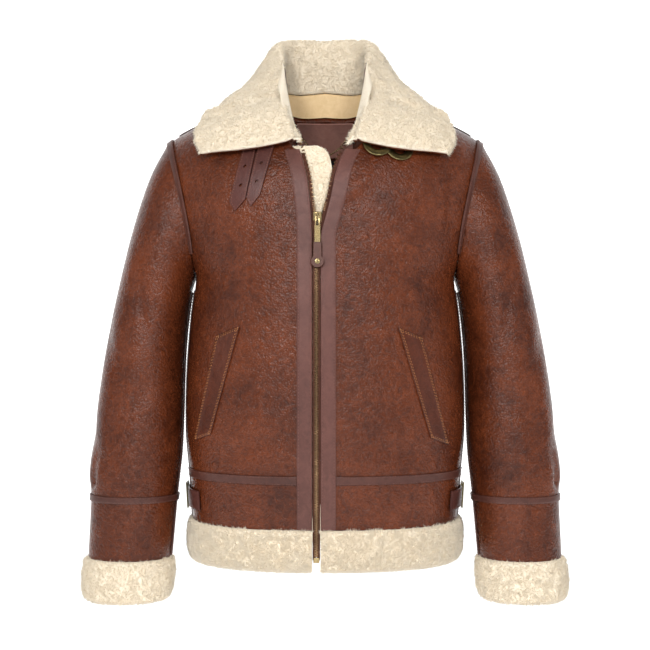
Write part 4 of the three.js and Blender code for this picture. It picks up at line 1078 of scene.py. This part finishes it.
# Collar rings: the middle of each, how far it stands off the front, and the size of both
rings = {"inner": (72.5, -78.5, 5.6), "outer": (103.5, -82.5, 3)}
ring = {"radius": 15.25, "halfWide": 5.25, "halfThick": 1.1}
for name, (x, z, lift) in rings.items():
    turn, level = placeAt(x, z)
    out = bodyNormal(turn, level)
    up = unit(np.array([0, 0, 1.0]) - out * out[2])
    points, faces = ringPoints(**ring)
    points = onBody(turn, level, lift) + points @ np.stack([np.cross(up, out), up, out])
    addMesh(f"collar_ring_{name}", points, faces, "brass", [f"collar_ring_{name}"], sharp=0)


def bevelEdges(made, size, angle):
    modifier = made.modifiers.new("edges", "BEVEL")
    modifier.width, modifier.segments, modifier.limit_method = size / 1000, 2, "ANGLE"
    modifier.angle_limit = math.radians(angle)


# A flat outline of quads made a plate on the body, with walls at every free edge.
def plate(name, flat, quads, place, lift, thick, material):
    _, first, same = np.unique(np.round(flat, 3), axis=0, return_index=True, return_inverse=True)
    same = same.ravel()
    flat, quads = flat[first], same[quads]
    turns, levels = place(flat[:, 0], flat[:, 1])
    points = np.concatenate([onBody(turns, levels, lift), onBody(turns, levels, lift - thick)])
    edges = np.stack([quads, np.roll(quads, -1, 1)], -1).reshape(-1, 2)
    code = edges[:, 0] * len(flat) + edges[:, 1]
    back = edges[:, 1] * len(flat) + edges[:, 0]
    free = edges[~np.isin(code, back)]
    n = len(flat)
    walls = np.stack([free[:, 1], free[:, 0], free[:, 0] + n, free[:, 1] + n], -1)
    faces = np.concatenate([quads, quads[:, ::-1] + n, walls])
    made = addMesh(name, points, faces, material, [name], nodeBody[name])
    bevelEdges(made, 0.5, 50)
    return made


def flatGrid(x0, x1, y0, y1, columns, rows):
    x, y = np.meshgrid(np.linspace(x0, x1, columns + 1), np.linspace(y0, y1, rows + 1))
    ids = np.arange(x.size).reshape(x.shape)
    faces = np.stack([ids[:-1, :-1], ids[:-1, 1:], ids[1:, 1:], ids[1:, :-1]], -1).reshape(-1, 4)
    return np.stack([x, y], -1).reshape(-1, 2), faces


# A square of a strap with a round hole: rings of points from the hole out to the square's edge.
def flatHole(half, middle, h, radius, columns=10, rings=4):
    e = np.linspace(-1, 1, columns + 1)[:-1]
    box = np.concatenate([
        np.stack([e * half, -h + 0 * e], -1), np.stack([half + 0 * e, e * h], -1),
        np.stack([-e * half, h + 0 * e], -1), np.stack([-half + 0 * e, -e * h], -1),
    ])
    circle = box / np.linalg.norm(box / [half, h], axis=1, keepdims=True) / [half, h] * radius
    circle = circle / np.linalg.norm(circle, axis=1, keepdims=True) * radius
    t = np.linspace(0, 1, rings + 1)[:, None, None]
    points = mix(circle, box, t) + [0, middle]
    ids = np.arange((rings + 1) * len(box)).reshape(rings + 1, -1)
    nextIds = np.roll(ids, -1, 1)
    faces = np.stack([ids[:-1], ids[1:], nextIds[1:], nextIds[:-1]], -1).reshape(-1, 4)
    return points.reshape(-1, 2), faces


# Collar straps, each tapering to a point: its ends, its width at the top and where the point starts, and the shares
# of its length where the holes and the point are
straps = [
    {"name": "outer", "top": (-100.5, -62), "end": (-124.5, -170), "wide": (17.8, 22.5)},
    {"name": "inner", "top": (-77, -60), "end": (-102.5, -164), "wide": (24.5, 18.6)},
]
strapShares = {"holes": (0.435, 0.68), "point": 0.87}
half, holeHalf, holeRadius = 10, 7, 2.3
for strap in straps:
    (ax, az), (bx, bz) = strap["top"], strap["end"]
    topWide, endWide = strap["wide"]
    length = math.hypot(bx - ax, bz - az)
    upper, lower = (share * length for share in strapShares["holes"])
    point = strapShares["point"] * length
    scaled = np.array([0, point, length]), np.array([topWide, endWide, endWide * 0.06]) / (2 * half)
    parts = [
        flatGrid(-half, half, 0, upper - holeHalf, 10, 14),
        flatHole(half, upper, holeHalf, holeRadius),
        flatGrid(-half, half, upper + holeHalf, lower - holeHalf, 10, 4),
        flatHole(half, lower, holeHalf, holeRadius),
        flatGrid(-half, half, lower + holeHalf, point, 10, 4),
        flatGrid(-half, half, point, length, 10, 6),
    ]
    flat, quads, count = [], [], 0
    for points, faces in parts:
        flat.append(points)
        quads.append(faces + count)
        count += len(points)
    flat, quads = np.concatenate(flat), np.concatenate(quads)

    def strapPlace(u, v, ax=ax, az=az, bx=bx, bz=bz, length=length, scaled=scaled):
        u = u * np.interp(v, *scaled)
        share = v / length
        return placeAt(mix(ax, bx, share) + u, mix(az, bz, share) + u * 0.15)

    name = f"collar_strap_{strap['name']}"
    made = plate(name, flat, quads, strapPlace, layGap + 2.4, 2.4, "strapLeather")
    wide = max(strap["wide"]) / 1000
    v = np.concatenate([np.linspace(2, point, 50), np.linspace(point, length - 4, 8)[1:]])
    for edgeSide in (-1, 1):
        u = edgeSide * (half - 2.0 / np.maximum(0.35, np.interp(v, *scaled)))
        turns, levels = strapPlace(u, v)
        line = onBody(turns, levels, layGap + 2.5)
        sew(line, bodyNormal(turns, levels), "seam", long=2.4)

# Pocket welts, each with the mouth of its pocket along the outer edge: its top, its foot and its width at both
welts = {
    "right": {"top": (-135, -338.5), "foot": (-173, -490), "wide": (33, 24)},
    "left": {"top": (118, -340.5), "foot": (161, -494.5), "wide": (33, 26)},
}
for name, values in welts.items():
    side = sides[name]
    (x0, z0), (x1, z1), (wide0, wide1) = values["top"], values["foot"], values["wide"]
    share = edged(40, 0.008)[:, None]
    across = (edged(16, 0.03) - 0.5)[None, :] * side
    wide = mix(wide0, wide1, share)
    turns, levels = placeAt(
        mix(x0, x1, share) + across * wide, mix(z0, z1, share) - 0.43 * side * across * wide
    )
    rows, columns = turns.shape
    lip = 1.0 * smoothStep(np.linspace(0, 1, columns), 0.7, 0.93)
    lifts = roundedLift(rows, columns, layGap + 2.6, 0.8) + lip - 0.4
    welt = f"pocket_welt_{name}"
    shell(welt, onBody(turns, levels, lifts), onBody(turns, levels, layGap), "weltLeather", "laid")
    for inset in (2.2, 4.6):
        for columns in (True, False):
            sewEdges(welt, inset, "bright", columns, long=3.2, gap=1.0)

# Waist adjusters: the turns where each strap starts and ends, and the heights across it
strapTurns = (62, 128)
heights = np.array([-597, -596.2, -590, -583, -576, -569.8, -569.0])
for name, side in sides.items():
    turns = mirrored(side, np.linspace(*strapTurns, 60))[None, :] + 0 * heights[:, None]
    trim(f"side_strap_{name}", turns, levelOf(heights)[:, None], layGap + bindThick + 3, "strapLeather", 2.4)
    sewEdges(f"side_strap_{name}", 2.4, columns=False)


# Hard parts keep their solids' form, with their edges rounded.
def roundedPart(node, material, bevel):
    mesh = frame["nodes"][node].data.copy()
    mesh.name = node + "_part"
    work = bmesh.new()
    work.from_mesh(mesh)
    bmesh.ops.remove_doubles(work, verts=work.verts, dist=2e-6)
    bmesh.ops.dissolve_limit(work, angle_limit=math.radians(1), verts=work.verts, edges=work.edges)
    bmesh.ops.recalc_face_normals(work, faces=work.faces)
    work.to_mesh(mesh)
    work.free()
    for polygon in mesh.polygons:
        polygon.use_smooth = True
    mesh.set_sharp_from_angle(angle=math.radians(35))
    mesh.materials.clear()
    mesh.materials.append(materials[material])
    made = bpy.data.objects.new(node + "_part", mesh)
    bpy.context.scene.collection.objects.link(made)
    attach(made, nodeBody[node])
    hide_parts(node)
    bevelEdges(made, bevel, 35)


# Each hard part's material and the size of its rounded edges
hardParts = {
    "zip_slider": ("brightBrass", 0.35), "zip_puller": ("brightBrass", 0.3), "pull_leather": ("pullLeather", 0.7),
    "pull_rivet": ("brightBrass", 0.15), "zip_stop": ("brightBrass", 0.5), "side_buckle_right": ("brass", 0.5),
    "side_buckle_left": ("brass", 0.5), "ring_loop_inner": ("binding", 0.2), "ring_loop_outer": ("binding", 0.2),
    "chain_plate_right": ("brightBrass", 0.4), "chain_plate_left": ("brightBrass", 0.4),
}
for node, values in hardParts.items():
    roundedPart(node, *values)

# Hanging chain: oval links along a parabola, each turned a quarter from the last; half its width, how far it sags,
# its ends' height, the length of chain for each link, and a link's oval
chainHalf, chainSag, chainZ = 41, 33, -33
linkStep, linkOval = 2.5, [1.45, 0.95, 1]
turn, level = placeAt(chainHalf, chainZ, True)
chainY = (body(turn, level) + bodyNormal(turn, level) * (-hide - 5.4))[1] - 3.9
share = np.linspace(-1, 1, 400)
curve = stack(share * (chainHalf - 2), chainY, chainZ - chainSag * (1 - share**2))
along = np.concatenate([[0], np.cumsum(np.linalg.norm(np.diff(curve, axis=0), axis=1))])
linkCount = int(along[-1] / linkStep)
spots = (np.arange(linkCount) + 0.5) * along[-1] / linkCount
linkPoints, linkFaces = ringPoints(1.25, 0.36, 0.36, 14, 6)
linkPoints = linkPoints * linkOval
chainPoints, chainFaces = [], []
onCurve = lambda s: np.array([np.interp(s, along, curve[:, c]) for c in range(3)])
for k, spot in enumerate(spots):
    middle = onCurve(spot)
    ahead = unit(onCurve(spot + 0.5) - onCurve(spot - 0.5))
    out = np.array([0, 1.0, 0])
    twist = np.cross(ahead, out)
    a, b = (out, twist) if k % 2 else (twist, out)
    chainPoints.append(middle + linkPoints[:, :1] * ahead + linkPoints[:, 1:2] * a + linkPoints[:, 2:] * b)
    chainFaces.append(linkFaces + k * len(linkPoints))
points, faces = np.concatenate(chainPoints), np.concatenate(chainFaces)
addMesh("hanging_chain", points, faces, "brightBrass", ["hanging_chain"], sharp=0)


# Zip teeth: small blocks in two rows that mesh below the slider and part above it, on the tapes' edges.
def blocks(middles, across, up, out, sizes):
    corners = np.array([(x, y, z) for x in (-0.5, 0.5) for y in (-0.5, 0.5) for z in (-0.5, 0.5)]) * sizes
    corners[:, 0] *= np.where(corners[:, 2] > 0, 0.88, 1)
    corners[:, 1] *= np.where(corners[:, 2] > 0, 0.7, 1)
    axes = enumerate((across, up, out))
    points = middles[:, None] + sum(corners[None, :, k, None] * axis[:, None] for k, axis in axes)
    faces = np.array([(0, 1, 3, 2), (4, 6, 7, 5), (0, 4, 5, 1), (2, 3, 7, 6), (0, 2, 6, 4), (1, 5, 7, 3)])
    ids = np.arange(len(middles))[:, None, None] * 8
    return points.reshape(-1, 3), (faces[None] + ids).reshape(-1, 4)


# From tooth to tooth, a tooth's size across, along and out, and how far its middle is behind the opening's edge
toothGap, toothSize, toothIn = 2.3, (3.6, 1.35, 2.2), 4.9
closedZ = np.arange(-652, -186, toothGap)
openZ = np.arange(-172, armholeMidZ + 62, toothGap * 0.95)
for name, side in sides.items():
    z = np.concatenate([closedZ, openZ]) + (0.5 * toothGap if name == "left" else 0)
    levels = levelOf(z)
    z = np.where(levels > 1, armholeMidZ + (6 - armholeMidZ) * np.sin(np.radians(90 * (levels - 1))), z)
    turns = edgeTurn(name, levels, -toothIn * side)
    middles = onBody(turns, levels, -0.1)
    out = bodyNormal(turns, levels)
    up = unit(np.gradient(middles, axis=0))
    up[len(closedZ) - 1 : len(closedZ) + 1] = up[len(closedZ) - 2]
    across = unit(np.cross(up, out))
    addMesh(f"zip_teeth_{name}", *blocks(middles, across, up, out, toothSize), "toothBrass", sharp=30)

# Sewing along the strips
for name in sides:
    sewEdges(f"placket_{name}", 2.6)
    sewEdges(f"waist_trim_{name}", 1.7, columns=False, long=2.6)
    sewEdges(f"side_trim_{name}", 1.8, out=np.zeros(3))
    sewEdges(f"armhole_trim_{name}", 1.7, long=2.6)
    sewEdges(f"wrist_trim_{name}", 1.7, columns=False, out=outerGrids[f"wrist_trim_{name}"].mean((0, 1)), long=2.6)
    sewEdges(f"sleeve_seam_{name}", 1.8, out=outerGrids[f"sleeve_{name}"].mean((0, 1)) * [1, 1, 0])
sewEdges("waist_trim_back", 1.7, columns=False, long=2.6)
for thread, lines in sewn.items():
    ends = np.concatenate(lines)
    faces = np.array([(0, 2, 1), (0, 3, 2), (0, 4, 3), (0, 1, 4), (5, 1, 2), (5, 2, 3), (5, 3, 4), (5, 4, 1)])
    faces = (faces[None] + np.arange(len(ends))[:, None, None] * 6).reshape(-1, 3)
    addMesh(f"{thread}_sewing", ends.reshape(-1, 3), faces, thread, sharp=0)
print("hard parts and sewing are made")

# Floor and backdrop in one: flat in front, curved up behind
sweep = {"floor": -1.05, "back": 1.7, "bend": 0.9, "half": 4.0}
angles = np.linspace(0, np.pi / 2, 24)
profile = np.concatenate([
    [(-4.5, sweep["floor"])],
    np.stack([
        sweep["back"] - sweep["bend"] + sweep["bend"] * np.sin(angles),
        sweep["floor"] + sweep["bend"] * (1 - np.cos(angles)),
    ], -1),
    [(sweep["back"], 3.5)],
]) * 1000
grid = np.stack([stack(x, profile[:, 0], profile[:, 1]) for x in (-sweep["half"] * 1000, sweep["half"] * 1000)], 1)
ids = np.arange(grid.shape[0] * 2).reshape(-1, 2)
quads = np.stack([ids[:-1, 0], ids[:-1, 1], ids[1:, 1], ids[1:, 0]], -1)
newMaterial("backdrop", Base_Color=(0.93, 0.93, 0.93, 1), Roughness=0.9, Emission_Color=(1, 1, 1, 1),
            Emission_Strength=0.6)
floor = addMesh("floor", grid.reshape(-1, 3), quads, "backdrop", flip=False)
floor.parent = None
del floor["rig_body"]

scene = bpy.context.scene
world = bpy.data.worlds.new("studio")
scene.world = world
world.use_nodes = True
world.node_tree.nodes["Background"].inputs["Color"].default_value = (1, 1, 1, 1)
world.node_tree.nodes["Background"].inputs["Strength"].default_value = 0.12


def softBox(name, place, target, size, power):
    light = bpy.data.lights.new(name, "AREA")
    light.shape = "RECTANGLE"
    light.size, light.size_y = size
    light.energy = power
    made = bpy.data.objects.new(name, light)
    scene.collection.objects.link(made)
    made.location = place
    x, y, z = np.array(target) - np.array(place)
    made.rotation_euler = (math.atan2(math.hypot(x, y), -z), 0, math.atan2(-x, y))


# Soft boxes: place, target, size in metres, and power in watts
softBoxes = {
    "keyBox": ((-0.68, -2.3, 0.5), (0, 0, -0.3), (0.5, 0.8), 29),
    "fillBox": ((0.68, -2.3, 0.5), (0, 0, -0.3), (0.5, 0.8), 21),
    "lowBox": ((0, -2.6, -0.95), (0, 0, -0.6), (2.0, 0.4), 1.5),
    "leftBox": ((-1.9, -0.9, 0.2), (0, 0, -0.35), (0.6, 1.6), 6),
    "rightBox": ((1.9, -0.9, 0.2), (0, 0, -0.35), (0.6, 1.6), 6),
    "topBox": ((0, -0.7, 1.5), (0, 0, -0.2), (1.8, 1.0), 1),
    "wallBox": ((0, -0.2, 2.2), (0, 1.7, -0.2), (3.0, 1.0), 30),
}
for name, values in softBoxes.items():
    softBox(name, *values)

# The photograph's camera: its place in metres, its sensor's width and its lens in millimetres
view = {"place": (0, -1.9, -0.33), "sensor": 36, "lens": 70.15}
camera = bpy.data.cameras.new("camera")
camera.sensor_width, camera.lens = view["sensor"], view["lens"]
cameraObject = bpy.data.objects.new("camera", camera)
scene.collection.objects.link(cameraObject)
cameraObject.location = view["place"]
cameraObject.rotation_euler = (math.pi / 2, 0, 0)
scene.camera = cameraObject
scene.view_settings.view_transform = "Standard"
print("stage is set")
